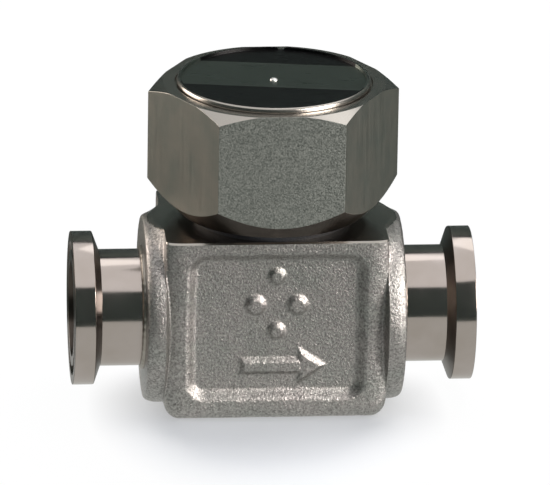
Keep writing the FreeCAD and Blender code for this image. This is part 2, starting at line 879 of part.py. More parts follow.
def make_snap_ring(document, dims):
    """The split ring in the inner cap's skirt that keeps the seat in it."""
    body = new_body(document, "snap_ring")
    place(body, up=dims.seat_flange_foot - dims.snap_ring_thickness)
    outer = dims.holder_skirt_bore + dims.snap_groove_depth - dims.joint_clearance
    inner = dims.seat_radius + dims.snap_ring_gap
    turned(body, "ring", "V_Axis", (
        (inner, 0),
        (outer, 0),
        (outer, dims.snap_ring_thickness),
        (inner, dims.snap_ring_thickness),
    ))
    open_ring(body, dims.snap_ring_opening, outer, dims.snap_ring_thickness)
    return body


def collar_foot(dims):
    """The level of the strainer collar's lower end."""
    return dims.seat_level + dims.seat_socket_depth - dims.collar_height


def make_screen(document, dims):
    """The perforated strainer tube that hangs from its collar in the chamber."""
    body = new_body(document, "strainer_screen")
    foot = dims.chamber_floor + dims.screen_floor_gap + dims.end_disc_thickness
    place(body, up=foot)
    height = collar_foot(dims) + dims.collar_drop - foot
    inner = dims.screen_radius - dims.screen_wall
    turned(body, "tube", "V_Axis", (
        (inner, 0),
        (dims.screen_radius, 0),
        (dims.screen_radius, height),
        (inner, height),
    ))
    sketch = new_sketch(body, "hole_column", "XZ_Plane")
    pitch = height / (SCREEN_ROWS + 1)
    for row in range(SCREEN_ROWS):
        add_circle(sketch, (0, pitch * (row + 1)), dims.screen_hole_radius)
    holes = pocket(body, "holes", sketch, dims.screen_radius * 2, False)
    holes.Midplane = True
    document.recompute()
    pattern = body.newObject("PartDesign::PolarPattern", "hole_columns")
    pattern.Originals = [holes]
    pattern.Axis = (origin_part(body, "Z_Axis"), [""])
    pattern.Angle = FULL_TURN
    pattern.Occurrences = SCREEN_COLUMNS
    body.Tip = pattern
    return body


def make_collar(document, dims):
    """The collar that fixes the screen in the seat's underside."""
    body = new_body(document, "strainer_collar")
    place(body, up=collar_foot(dims))
    hug = dims.screen_radius + dims.joint_clearance
    inner = dims.screen_radius - dims.screen_wall
    turned(body, "collar", "V_Axis", (
        (hug, 0),
        (dims.collar_radius, 0),
        (dims.collar_radius, dims.collar_height),
        (inner, dims.collar_height),
        (inner, dims.collar_drop),
        (hug, dims.collar_drop),
    ))
    return body


def make_end_disc(document, dims):
    """The disc that closes the strainer's lower end."""
    body = new_body(document, "strainer_end_disc")
    place(body, up=dims.chamber_floor + dims.screen_floor_gap)
    plug = dims.screen_radius - dims.screen_wall - dims.joint_clearance
    turned(body, "disc", "V_Axis", (
        (0, 0),
        (dims.screen_radius, 0),
        (dims.screen_radius, dims.end_disc_thickness),
        (plug, dims.end_disc_thickness),
        (plug, dims.end_disc_thickness * 2),
        (0, dims.end_disc_thickness * 2),
    ))
    return body


def make_parts(document, dims):
    """Make every sub-part and return them in order."""
    land = dims.gasket_land
    inner_ring = (dims.chamber_radius + land, dims.gallery_inner_radius - land)
    outer_ring = (dims.gallery_outer_radius + land, dims.neck_bore_radius - land)
    return [
        make_trap_body(document, dims),
        make_ferrule(document, dims, "inlet_ferrule", -1),
        make_ferrule(document, dims, "outlet_ferrule", 1),
        make_weld_bead(document, dims, "inlet_weld_bead", -1),
        make_weld_bead(document, dims, "outlet_weld_bead", 1),
        make_hex_cap(document, dims),
        make_cap_gasket(document, dims),
        make_nameplate(document, dims),
        make_nameplate_pin(document, dims),
        make_seat(document, dims),
        make_seat_gasket(document, dims, "seat_inner_gasket", *inner_ring),
        make_seat_gasket(document, dims, "seat_outer_gasket", *outer_ring),
        make_valve_disc(document, dims),
        make_vent_ring(document, dims),
        make_guide_ring(document, dims),
        make_inner_cap(document, dims),
        make_snap_ring(document, dims),
        make_screen(document, dims),
        make_collar(document, dims),
        make_end_disc(document, dims),
    ]


def check_document(document, parts):
    """Stop if any object failed or any sub-part is empty or broken."""
    for item in document.Objects:
        if "Invalid" in item.State or "Error" in item.State:
            raise RuntimeError(f"{item.Label} failed: {item.State}")
    for part in parts:
        if part.Shape.isNull() or not part.Shape.isValid() or not part.Shape.Solids:
            raise RuntimeError(f"{part.Label} has no sound solid")


def main():
    document = FreeCAD.newDocument("steam_trap")
    dims = work_out(make_sheet(document))
    parts = make_parts(document, dims)
    document.recompute()
    check_document(document, parts)
    os.makedirs("parts", exist_ok=True)
    for part in parts:
        part.Shape.exportStep(f"parts/{part.Label}.step")
        print(part.Label, len(part.Shape.Solids), round(part.Shape.Volume, 2), part.Shape.BoundBox)


main()
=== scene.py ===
"""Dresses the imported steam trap: cast body, hexagon cap, clamp ferrules, nameplate and studio."""

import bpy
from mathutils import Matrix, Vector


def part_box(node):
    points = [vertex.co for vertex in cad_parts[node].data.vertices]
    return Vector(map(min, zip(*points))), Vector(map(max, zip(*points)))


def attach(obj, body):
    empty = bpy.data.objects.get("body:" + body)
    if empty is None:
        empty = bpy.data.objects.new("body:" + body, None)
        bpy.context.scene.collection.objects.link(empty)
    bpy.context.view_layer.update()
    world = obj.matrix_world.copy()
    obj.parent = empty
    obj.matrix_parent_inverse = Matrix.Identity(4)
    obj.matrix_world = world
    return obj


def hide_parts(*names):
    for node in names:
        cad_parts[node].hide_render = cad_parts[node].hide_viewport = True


bl_info = {
    "name": "Steam Trap Looks",
    "version": (1, 0, 0),
    "blender": (4, 5, 0),
    "location": "3D View > Sidebar > Steam Trap",
    "description": "Builds the visible pieces of a disc steam trap around its packed solids",
    "category": "Object",
}

from types import SimpleNamespace

import bmesh
import bpy
import numpy as np
from bpy.props import FloatProperty, FloatVectorProperty, PointerProperty
from mathutils import Matrix, Vector

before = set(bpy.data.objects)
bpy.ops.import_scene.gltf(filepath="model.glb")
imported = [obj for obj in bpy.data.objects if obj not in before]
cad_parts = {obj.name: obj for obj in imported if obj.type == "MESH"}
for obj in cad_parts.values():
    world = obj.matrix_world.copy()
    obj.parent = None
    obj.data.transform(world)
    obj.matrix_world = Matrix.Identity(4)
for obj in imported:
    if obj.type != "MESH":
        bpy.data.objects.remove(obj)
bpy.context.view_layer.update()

# Lengths below are in millimetres, as on the solids. MM turns them into Blender's metres.
MM = 0.001
FULL = 2 * np.pi


def box_mm(node):
    """Lowest and highest corner of a solid, in millimetres."""
    low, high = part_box(node)
    return np.array(low) / MM, np.array(high) / MM


BODY_LOW, BODY_HIGH = box_mm("trap_body")
CAP_LOW, CAP_HIGH = box_mm("hex_cap")
FERRULE_LOW, FERRULE_HIGH = box_mm("outlet_ferrule")
PLATE_LOW, PLATE_HIGH = box_mm("nameplate")
PIN_LOW, PIN_HIGH = box_mm("nameplate_pin")
AXIS_LEVEL = (FERRULE_LOW[2] + FERRULE_HIGH[2]) / 2
# The machined top, on which the cap's gasket lies.
TOP_LEVEL = box_mm("cap_gasket")[0][2]


def hex_colour(code):
    """Turn an sRGB hex code into linear red, green, blue and alpha."""
    channels = np.array([int(code[i:i + 2], 16) for i in (1, 3, 5)]) / 255
    linear = np.where(channels <= 0.04045, channels / 12.92, ((channels + 0.055) / 1.055) ** 2.4)
    return (*linear.tolist(), 1.0)


# Arrays

# Numbers that scatter the sines of a lattice's points, so that they look random.
SCATTER_WAVES = np.array([127.1, 311.7, 74.7])
SCATTER_SEED = 57.3
SCATTER_SCALE = 43758.5453


def smooth_step(value):
    """A cubic ease from 0 to 1."""
    value = np.clip(value, 0, 1)
    return value * value * (3 - 2 * value)


def smooth_max(first, second, width):
    """The larger of two fields, with the crease between them filled over the given width."""
    share = np.clip(0.5 + 0.5 * (first - second) / width, 0, 1)
    return first * share + second * (1 - share) + width * share * (1 - share)


def lattice_noise(points, cell, seed):
    """Smooth noise from -1 to 1: random values on a lattice of the given cell, eased between."""
    scaled = points / cell
    base = np.floor(scaled)
    ease = smooth_step(scaled - base)
    total = np.zeros(points.shape[:-1])
    for corner in np.ndindex(2, 2, 2):
        lattice = base + corner
        phase = lattice @ SCATTER_WAVES + seed * SCATTER_SEED
        value = np.sin(phase) * SCATTER_SCALE
        value = (value - np.floor(value)) * 2 - 1
        weight = np.prod(np.where(np.array(corner) == 1, ease, 1 - ease), axis=-1)
        total += value * weight
    return total


def rounded_box_distance(across, up, half_across, half_up, radius):
    """Signed distance to a rectangle with round corners, negative inside."""
    x = np.abs(across) - (half_across - radius)
    y = np.abs(up) - (half_up - radius)
    outside = np.hypot(np.maximum(x, 0), np.maximum(y, 0))
    return outside + np.minimum(np.maximum(x, y), 0) - radius


def convex_distance(across, up, corners):
    """Signed distance, exact inside, to a convex outline given anticlockwise."""
    distance = np.full(across.shape, -np.inf)
    for start, end in zip(corners, corners[1:] + corners[:1]):
        edge = np.subtract(end, start)
        normal = np.array([edge[1], -edge[0]]) / np.hypot(*edge)
        distance = np.maximum(distance, (across - start[0]) * normal[0] + (up - start[1]) * normal[1])
    return distance


def rounded_profile(points, steps=5):
    """Replace each corner (along, radius, rounding) of a profile by an arc-like curve."""
    result = []
    for index, (along, radius, rounding) in enumerate(points):
        corner = np.array([along, radius])
        if rounding == 0:
            result.append(corner)
            continue
        before = np.array(points[index - 1][:2]) - corner
        after = np.array(points[index + 1][:2]) - corner
        start = corner + before / np.hypot(*before) * rounding
        end = corner + after / np.hypot(*after) * rounding
        for share in np.linspace(0, 1, steps):
            first = start + (corner - start) * share
            second = corner + (end - corner) * share
            result.append(first + (second - first) * share)
    return np.array(result)


def turned_about_x(profile, columns):
    """Turn a profile of (along, radius) about the flow axis."""
    angle = np.linspace(0, FULL, columns, endpoint=False)
    along = np.repeat(profile[:, :1], columns, axis=1)
    radius = profile[:, 1:2]
    return np.stack([along, radius * np.cos(angle), AXIS_LEVEL + radius * np.sin(angle)], axis=-1)


def turned_about_z(profile, columns):
    """Turn a profile of (level, radius) about the cap's axis."""
    angle = np.linspace(0, FULL, columns, endpoint=False)
    level = np.repeat(profile[:, :1], columns, axis=1)
    radius = profile[:, 1:2]
    return np.stack([radius * np.cos(angle), radius * np.sin(angle), level], axis=-1)


# Meshes


def grid_quads(rows, columns):
    """Four-sided faces of a grid that closes round its columns."""
    row, column = np.meshgrid(np.arange(rows - 1), np.arange(columns), indexing="ij")
    following = (column + 1) % columns
    corners = [row * columns + column, row * columns + following,
               (row + 1) * columns + following, (row + 1) * columns + column]
    return np.stack(corners, axis=-1).reshape(-1, 4)


def make_piece(name, points, body, material, nodes=(), sharp_angle=35):
    """Put a grid of points into a closed mesh object that rides on a body."""
    rows, columns = points.shape[:2]
    mesh = bpy.data.meshes.new(name)
    mesh.from_pydata((points.reshape(-1, 3) * MM).tolist(), [], grid_quads(rows, columns).tolist())
    close_mesh(mesh)
    mesh.shade_smooth()
    mesh.set_sharp_from_angle(angle=np.radians(sharp_angle))
    piece = bpy.data.objects.new(name, mesh)
    bpy.context.scene.collection.objects.link(piece)
    mesh.materials.append(material)
    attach(piece, body)
    if nodes:
        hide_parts(*nodes)
    return piece


def close_mesh(mesh):
    """Merge the points that meet at poles and make the faces point outwards."""
    work = bmesh.new()
    work.from_mesh(mesh)
    bmesh.ops.remove_doubles(work, verts=work.verts, dist=1e-7)
    bmesh.ops.dissolve_degenerate(work, edges=work.edges, dist=1e-8)
    bmesh.ops.recalc_face_normals(work, faces=work.faces)
    work.to_mesh(mesh)
    work.free()


# Materials


def add_node(tree, kind, settings=None, links=None):
    """Add a node: settings are its properties or inputs, links the outputs that feed its inputs."""
    node = tree.nodes.new(kind)
    for key, value in (settings or {}).items():
        if isinstance(key, int) or key in node.inputs:
            node.inputs[key].default_value = value
        else:
            setattr(node, key, value)
    for key, source in (links or {}).items():
        tree.links.new(source, node.inputs[key])
    return node


def new_material(name, colour, metallic, roughness):
    """A material with one Principled shader, and the object's own coordinates for its patterns."""
    made = bpy.data.materials.new(name)
    made.use_nodes = True
    tree = made.node_tree
    shader = tree.nodes["Principled BSDF"]
    shader.inputs["Base Color"].default_value = hex_colour(colour)
    shader.inputs["Metallic"].default_value = metallic
    shader.inputs["Roughness"].default_value = roughness
    place = add_node(tree, "ShaderNodeTexCoord").outputs["Object"]
    return made, tree, shader, place


def per_mm(width):
    """The scale of a pattern whose features are this many millimetres wide."""
    return 1 / (width * MM)


def let_vary(tree, shader, pattern, colours=None, gloss=None, relief=0, ends=(0.3, 0.7)):
    """Let one pattern, from 0 to 1, vary a finish: between two colours, in roughness, in relief in mm.

    The roughness runs its range between the two ends, where most of the pattern's values lie."""
    if colours:
        low, high = (hex_colour(code) for code in colours)
        tint = add_node(tree, "ShaderNodeMix", {"data_type": "RGBA", 6: low, 7: high}, {0: pattern})
        tree.links.new(tint.outputs[2], shader.inputs["Base Color"])
    if gloss:
        limits = {"From Min": ends[0], "From Max": ends[1], "To Min": gloss[0], "To Max": gloss[1]}
        rough = add_node(tree, "ShaderNodeMapRange", limits, {"Value": pattern})
        tree.links.new(rough.outputs["Result"], shader.inputs["Roughness"])
    if relief:
        raised = add_node(tree, "ShaderNodeBump", {"Distance": relief * MM}, {"Height": pattern})
        tree.links.new(raised.outputs["Normal"], shader.inputs["Normal"])


# Light and dark rings of a wave texture in one unit, at a scale of 1.
WAVE_RINGS = 6
BAND_SOFTNESS = 0.05 * MM


def cast_stainless():
    """Investment-cast stainless steel, blasted with shot: matt grey, with fine pits whose flanks glitter."""
    made, tree, shader, place = new_material("cast_stainless_blasted", "#b4b5b0", 1.0, 0.45)
    patches = add_node(tree, "ShaderNodeTexNoise", {"Scale": per_mm(5), "Detail": 2}, {"Vector": place})
    tone = add_node(tree, "ShaderNodeMix",
                    {"data_type": "RGBA", 6: hex_colour("#b0b3ad"), 7: hex_colour("#ccc4c2")},
                    {0: patches.outputs["Fac"]})
    # Shot marks are about 0.1 mm wide; drawn at 0.36 mm and less, the finest that shows.
    grit = add_node(tree, "ShaderNodeTexNoise", {"Scale": per_mm(0.36), "Detail": 3, "Roughness": 0.7},
                    {"Vector": place})
    worn = add_node(tree, "ShaderNodeMapRange", {"From Min": 0.35, "From Max": 0.65},
                    {"Value": grit.outputs["Fac"]})
    grey = add_node(tree, "ShaderNodeMix",
                    {"data_type": "RGBA", "blend_type": "MULTIPLY", 7: hex_colour("#a8a8a8")},
                    {0: worn.outputs["Result"], 6: tone.outputs[2]})
    tree.links.new(grey.outputs[2], shader.inputs["Base Color"])
    let_vary(tree, shader, grit.outputs["Fac"], gloss=(0.28, 0.46), relief=0.15, ends=(0.35, 0.65))
    return made


def turned_stainless():
    """Stainless bar, fine turned and polished: bright and warm, with faint rings left by the tool."""
    made, tree, shader, place = new_material("turned_stainless_polished", "#b5aaa3", 1.0, 0.14)
    smears = add_node(tree, "ShaderNodeTexNoise", {"Scale": per_mm(5), "Detail": 2}, {"Vector": place})
    let_vary(tree, shader, smears.outputs["Fac"], ("#b1a69d", "#c5bbb6"), (0.09, 0.17))
    # The tool's feed is 0.05 mm; drawn at 0.25 mm.
    across = add_node(tree, "ShaderNodeMapping", {"Scale": (1, 0.02, 0.02)}, {"Vector": place})
    rings = add_node(tree, "ShaderNodeTexNoise", {"Scale": per_mm(0.25), "Detail": 2},
                     {"Vector": across.outputs["Vector"]})
    let_vary(tree, shader, rings.outputs["Fac"], relief=0.004)
    return made


def blasted_flat():
    """The front flat of the hexagon, bead-blasted: grey-green and evenly grained."""
    made, tree, shader, place = new_material("hexagon_flat_blasted", "#b5b8b2", 1.0, 0.46)
    # Bead marks are about 0.1 mm wide; drawn at 0.26 mm.
    grain = add_node(tree, "ShaderNodeTexNoise", {"Scale": per_mm(0.26), "Detail": 2, "Roughness": 0.6},
                     {"Vector": place})
    let_vary(tree, shader, grain.outputs["Fac"], ("#4e534d", "#babdb7"), (0.42, 0.6), 0.05, (0.35, 0.65))
    return made


def drawn_flat():
    """Drawn stainless hexagon bar, dulled by pickling: smooth, with faint upright draw lines."""
    made, tree, shader, place = new_material("hexagon_bar_drawn", "#aeb0aa", 1.0, 0.42)
    patches = add_node(tree, "ShaderNodeTexNoise", {"Scale": per_mm(4), "Detail": 2}, {"Vector": place})
    let_vary(tree, shader, patches.outputs["Fac"], ("#838a84", "#a29c93"))
    # Draw lines are about 0.05 mm wide; drawn at 0.5 mm and less.
    upright = add_node(tree, "ShaderNodeMapping", {"Scale": (1, 1, 0.05)}, {"Vector": place})
    lines = add_node(tree, "ShaderNodeTexNoise", {"Scale": per_mm(0.5), "Detail": 3},
                     {"Vector": upright.outputs["Vector"]})
    let_vary(tree, shader, lines.outputs["Fac"], gloss=(0.4, 0.47), relief=0.006)
    return made


def machined_stainless():
    """Faced stainless casting: smooth and dark, with the arcs of the facing tool."""
    made, tree, shader, place = new_material("faced_stainless", "#b0aba4", 1.0, 0.24)
    flat = add_node(tree, "ShaderNodeMapping", {"Scale": (1, 1, 0)}, {"Vector": place})
    # The facing tool's feed is 0.15 mm; drawn as rings 0.8 mm wide.
    arcs = add_node(tree, "ShaderNodeTexWave",
                    {"wave_type": "RINGS", "rings_direction": "SPHERICAL",
                     "Scale": per_mm(0.8) / WAVE_RINGS, "Distortion": 0.6},
                    {"Vector": flat.outputs["Vector"]})
    let_vary(tree, shader, arcs.outputs["Fac"], relief=0.004)
    blotches = add_node(tree, "ShaderNodeTexNoise", {"Scale": per_mm(3), "Detail": 3}, {"Vector": place})
    let_vary(tree, shader, blotches.outputs["Fac"], gloss=(0.21, 0.27))
    return made


def polished_pin():
    """Drive pin of plated steel, polished by its driving: a small bright dome."""
    made, tree, shader, place = new_material("drive_pin_plated", "#ecebe8", 1.0, 0.4)
    wear = add_node(tree, "ShaderNodeTexNoise", {"Scale": per_mm(0.4), "Detail": 2}, {"Vector": place})
    let_vary(tree, shader, wear.outputs["Fac"], gloss=(0.34, 0.46))
    return made


def shade_painted_stainless():
    """Turned stainless steel painted darker and browner than the flats above it: painted shade on the faces
    that turn down, inwards or away.
    """
    made, tree, shader, place = new_material("turned_stainless_steam_stained", "#7f766f", 1.0, 0.3)
    blotches = add_node(tree, "ShaderNodeTexNoise", {"Scale": per_mm(2.5), "Detail": 3}, {"Vector": place})
    # Painted shade: these dark brown tones stand in for the shade and dark reflections on these faces.
    let_vary(tree, shader, blotches.outputs["Fac"], ("#48413c", "#70675f"))
    return made


def weld_metal():
    """Stainless weld bead, left as welded: bright drops with a straw tint from the heat."""
    made, tree, shader, place = new_material("weld_bead_as_welded", "#a39d94", 1.0, 0.36)
    heat = add_node(tree, "ShaderNodeTexNoise", {"Scale": per_mm(1.2), "Detail": 2}, {"Vector": place})
    let_vary(tree, shader, heat.outputs["Fac"], ("#8a8276", "#b4afa8"))
    return made


def nameplate_enamel(settings):
    """Stainless plate with baked black enamel above and below a bare satin band."""
    made, tree, shader, place = new_material("nameplate_enamelled", "#141514", 0.0, 0.25)
    # The plate is turned with the cap, so its band runs slightly askew to the flow.
    turn = add_node(tree, "ShaderNodeMapping", {"Rotation": (0, 0, settings.plate_turn)}, {"Vector": place})
    parts = add_node(tree, "ShaderNodeSeparateXYZ", None, {"Vector": turn.outputs["Vector"]})
    inside = {}
    for side, (edge, soft) in enumerate(((settings.band_low, BAND_SOFTNESS),
                                         (settings.band_high, -BAND_SOFTNESS))):
        ramp = add_node(tree, "ShaderNodeMapRange", {"From Min": edge - soft, "From Max": edge + soft},
                        {"Value": parts.outputs["Y"]})
        inside[side] = ramp.outputs["Result"]
    bare = add_node(tree, "ShaderNodeMath", {"operation": "MULTIPLY"}, inside)
    tree.links.new(bare.outputs["Value"], shader.inputs["Metallic"])
    grain = add_node(tree, "ShaderNodeMapping", {"Scale": (0.05, 1, 1)}, {"Vector": turn.outputs["Vector"]})
    brush = add_node(tree, "ShaderNodeTexNoise", {"Scale": per_mm(0.35), "Detail": 3},
                     {"Vector": grain.outputs["Vector"]})
    satin = add_node(tree, "ShaderNodeMix",
                     {"data_type": "RGBA", 6: hex_colour("#6c736c"), 7: hex_colour("#7e857e")},
                     {0: brush.outputs["Fac"]})
    paint = add_node(tree, "ShaderNodeMix", {"data_type": "RGBA", 6: hex_colour("#070808")},
                     {0: bare.outputs["Value"], 7: satin.outputs[2]})
    tree.links.new(paint.outputs[2], shader.inputs["Base Color"])
    let_vary(tree, shader, brush.outputs["Fac"], gloss=(0.27, 0.31))
    shader.inputs["Specular IOR Level"].default_value = 0.18
    return made


def pressed_graphite():
    """Pressed graphite sheet: near black and dull, with fine flakes."""
    made, tree, shader, place = new_material("graphite_pressed", "#26262a", 0.0, 0.62)
    flakes = add_node(tree, "ShaderNodeTexNoise", {"Scale": per_mm(0.4), "Detail": 3}, {"Vector": place})
    let_vary(tree, shader, flakes.outputs["Fac"], ("#1a1a1c", "#3a3a3f"), relief=0.03)
    return made


def lapped_stainless():
    """Hardened stainless steel, lapped: even, fine and slightly blue, with faint circles."""
    made, tree, shader, place = new_material("hardened_stainless_lapped", "#a7a9ad", 1.0, 0.2)
    flat = add_node(tree, "ShaderNodeMapping", {"Scale": (1, 1, 0)}, {"Vector": place})
    circles = add_node(tree, "ShaderNodeTexWave",
                       {"wave_type": "RINGS", "rings_direction": "SPHERICAL",
                        "Scale": per_mm(0.4) / WAVE_RINGS},
                       {"Vector": flat.outputs["Vector"]})
    let_vary(tree, shader, circles.outputs["Fac"], relief=0.003)
    haze = add_node(tree, "ShaderNodeTexNoise", {"Scale": per_mm(2), "Detail": 2}, {"Vector": place})
    let_vary(tree, shader, haze.outputs["Fac"], gloss=(0.15, 0.27))
    return made


def bimetal_strip():
    """Bimetal strip, cold rolled: yellowish steel with fine lines along the strip."""
    made, tree, shader, place = new_material("bimetal_cold_rolled", "#b5a88e", 1.0, 0.28)
    along = add_node(tree, "ShaderNodeMapping", {"Scale": (0.1, 0.1, 1)}, {"Vector": place})
    lines = add_node(tree, "ShaderNodeTexNoise", {"Scale": per_mm(0.2), "Detail": 2},
                     {"Vector": along.outputs["Vector"]})
    let_vary(tree, shader, lines.outputs["Fac"], ("#a3957a", "#c2b69e"), relief=0.005)
    return made


def rolled_sheet():
    """Stainless sheet, bright rolled and punched: even, with a faint upright grain."""
    made, tree, shader, place = new_material("stainless_sheet_rolled", "#a8a7a3", 1.0, 0.3)
    upright = add_node(tree, "ShaderNodeMapping", {"Scale": (1, 1, 0.08)}, {"Vector": place})
    grain = add_node(tree, "ShaderNodeTexNoise", {"Scale": per_mm(0.3), "Detail": 2},
                     {"Vector": upright.outputs["Vector"]})
    let_vary(tree, shader, grain.outputs["Fac"], gloss=(0.24, 0.36), relief=0.006)
    return made


MATERIAL_MAKERS = {
    "cast": cast_stainless,
    "turned": turned_stainless,
    "blasted": blasted_flat,
    "drawn": drawn_flat,
    "faced": machined_stainless,
    # Darker turned steel as painted shade, for faces turned down, inwards or away.
    "painted_shade": shade_painted_stainless,
    "pin": polished_pin,
    "weld": weld_metal,
    "graphite": pressed_graphite,
    "lapped": lapped_stainless,
    "bimetal": bimetal_strip,
    "sheet": rolled_sheet,
}
MADE_MATERIALS = {}


def material(name):
    """Each material is made once, when a piece first asks for it."""
    if name not in MADE_MATERIALS:
        MADE_MATERIALS[name] = MATERIAL_MAKERS[name]()
    return MADE_MATERIALS[name]


# Settings that a user would change


class CastingSettings(bpy.types.PropertyGroup):
    """Sizes of the cast body's visible skin."""

    end_rounding: FloatProperty(
        name="End rounding", description="Rounding of the block's upright corners, measured along the flow",
        default=3.0 * MM, unit="LENGTH")
    side_rounding: FloatProperty(
        name="Side rounding", description="The same rounding, measured across the flow",
        default=1.0 * MM, unit="LENGTH")
    foot_rounding: FloatProperty(
        name="Foot rounding", description="Radius of the edges round the foot",
        default=2.5 * MM, unit="LENGTH")
    panel_depth: FloatProperty(
        name="Panel depth", description="Depth of the sunk panels on the front and back",
        default=1.4 * MM, unit="LENGTH")
    relief: FloatProperty(
        name="Relief", description="Height of the flow arrow and the round pips",
        default=0.7 * MM, unit="LENGTH")
    grain: FloatProperty(
        name="Grain", description="Height of the lumps that the mould leaves on the skin",
        default=0.02 * MM, unit="LENGTH")


class CapSettings(bpy.types.PropertyGroup):
    """Sizes of the hexagon cap and its nameplate."""

    edge: FloatProperty(
        name="Edge break", description="Width of the broken edges of the hexagon",
        default=0.16 * MM, unit="LENGTH")
    rim: FloatProperty(
        name="Rim", description="Width of the nameplate's rolled rim",
        default=0.7 * MM, unit="LENGTH")
    floor: FloatProperty(
        name="Floor", description="Thickness of the nameplate's floor",
        default=0.75 * MM, unit="LENGTH")
    plate_turn: FloatProperty(
        name="Plate turn", description="How far the nameplate's band is turned from the flow",
        default=np.radians(9.2), subtype="ANGLE")
    band_low: FloatProperty(
        name="Band low", description="Front edge of the plate's bare band, from its centre",
        default=-3.55 * MM, unit="LENGTH")
    band_high: FloatProperty(
        name="Band high", description="Back edge of the plate's bare band, from its centre",
        default=8.1 * MM, unit="LENGTH")


class FerruleSettings(bpy.types.PropertyGroup):
    """Sizes of the clamp ferrules."""

    rim: FloatProperty(
        name="Rim", description="Thickness of the flange's rim",
        default=3.4 * MM, unit="LENGTH")
    tube_radius: FloatProperty(
        name="Tube radius", description="Outside radius of the tube",
        default=9.5 * MM, unit="LENGTH")
    bore_radius: FloatProperty(
        name="Bore radius", description="Inside radius of the tube",
        default=7.9 * MM, unit="LENGTH")
    edge: FloatProperty(
        name="Edge", description="Rounding of the turned edges",
        default=0.18 * MM, unit="LENGTH")
    bead: FloatProperty(
        name="Bead", description="Leg of the weld bead",
        default=0.6 * MM, unit="LENGTH")


class StageSettings(bpy.types.PropertyGroup):
    """Light and camera."""

    softbox: FloatProperty(
        name="Softbox", description="Power of the overhead light", default=6.4, unit="POWER")
    side_light: FloatProperty(
        name="Side light", description="Power of the light on the right", default=3.2, unit="POWER")
    fill_light: FloatProperty(
        name="Fill light", description="Power of the light on the left", default=1.5, unit="POWER")
    top_light: FloatProperty(
        name="Top light", description="Power of the light over the right end", default=0.9, unit="POWER")
    shade: FloatProperty(
        name="Shade", description="How much of its shadow the table keeps near the foot", default=0.62,
        subtype="FACTOR")
    far_shade: FloatProperty(
        name="Far shade", description="How much of its shadow the table keeps beyond the ends", default=0.02,
        subtype="FACTOR")
    world: FloatProperty(
        name="World", description="Strength of the even light on the table", default=0.45)
    turn: FloatProperty(
        name="Turn", description="How far the camera stands round the trap",
        default=np.radians(5.07), subtype="ANGLE")
    elevation: FloatProperty(
        name="Elevation", description="How high the camera stands",
        default=np.radians(20.13), subtype="ANGLE")
    roll: FloatProperty(
        name="Roll", description="How far the camera leans", default=np.radians(0.94), subtype="ANGLE")
    table: FloatVectorProperty(
        name="Table", description="Colour of the table", subtype="COLOR", default=(0.9, 0.93, 0.97))


def in_mm(settings):
    """The lengths of a group of settings, in millimetres."""
    names = type(settings).__annotations__
    return SimpleNamespace(**{name: getattr(settings, name) / MM for name in names})


# Cast body

NECK_RADIUS = 10.93
NECK_LEAD = 0.8
NECK_BORE = 8.6
NECK_BREAK = 0.2
NECK_SUNK = 0.5
NECK_COLUMNS = 144
THREAD_PITCH = 1.5
THREAD_DEPTH = 0.8
THREAD_STEP = 0.12
THREAD_END = 0.9
# A groove's depth, as a share, is THREAD_PEAK in its middle and falls by THREAD_FLANK over a whole pitch.
THREAD_PEAK = 1.35
THREAD_FLANK = 3.4
UNDERCUT_LOW = 0.8
UNDERCUT_HIGH = 0.15
BLOCK_HALF_LENGTH = 18.0
BLOCK_HALF_WIDTH = 13.25
# Past its ends the block's radius drops by this much a millimetre, so that the boss takes over.
BLOCK_DROP = 20
PLATE_EDGE = 0.28
PLATE_END_EDGE = 0.35
PLATE_END_RUN = 0.6
PLATE_END_BLEND = 0.16
BOSS_RADIUS = 15.5
BOSS_REACH = 20.93
BOSS_EDGE_RUN = 2.2
BOSS_EDGE_DROP = 0.9
BOSS_INNER = 18.0
BOSS_FILLET_SLOPE = 4.5
BOSS_BLEND = 2.0
SHOULDER_RADIUS = 16.65
SHOULDER_RUN = 1.7
SHOULDER_SPREAD = 50.0
SHOULDER_FALL = 1.8
SHOULDER_BLEND = 0.4
SOCKET_RADIUS = 9.53
SOCKET_DEPTH = 2.1
PORT_RADIUS = 4.6
PORT_CONE = 3.4
PORT_END = 3.0
PANEL_HALF_LENGTH = 13.8
PANEL_LOW = 4.4
PANEL_HIGH = 28.1
PANEL_CORNER = 2.4
PANEL_WALL = 2.0
PANEL_WAVE = 0.12
PANEL_WAVE_WIDTH = 2.6
PANEL_END_GAP = 0.6
ARROW_TAIL = -5.6
ARROW_TIP = 7.7
ARROW_HEAD = 3.9
ARROW_SHAFT_HALF = 1.1
ARROW_HEAD_HALF = 2.7
ARROW_OVERLAP = 0.5
ARROW_LEVEL = 9.2
RELIEF_WALL = 1.0
LUMP_WIDTH = 1.5
SMALL_LUMP_WIDTH = 0.7
SMALL_LUMP_SHARE = 0.9
GRAIN_GAP = 0.05
GRAIN_FADE = 0.5
# Round pips above the arrow: place along the flow, level, radius.
PIPS = ((0.0, 24.6, 1.2), (-3.4, 19.6, 1.45), (3.4, 19.6, 1.45), (0.0, 15.2, 1.2))
# Rows of the skin: their spacing, and how many there are at the joint to a boss and round its edge.
ROW_STEP = 0.2
CLOSE_ROWS_FROM = 14.9
CLOSE_ROW_STEP = 0.15
JOINT_LEAD = 0.5
JOINT_ROWS = 16
EDGE_GAP = 0.06
EDGE_ROWS = 15
# Slack where a face's centre is held against the edge of a finish.
FACE_MARGIN = 0.01
# Points of the outline across the block, on its front, back, foot, foot edges and top.
FRONT_POINTS = 142
BACK_POINTS = 70
FOOT_POINTS = 40
FOOT_EDGE_POINTS = 10
TOP_POINTS = 56
# Where the front and the back stand among the runs of that outline.
FRONT_SIDE, BACK_SIDE = 0, 4
# Below this sine of its angle, a point of the skin is out of the machined top's reach.
LOW_SINE = 0.1


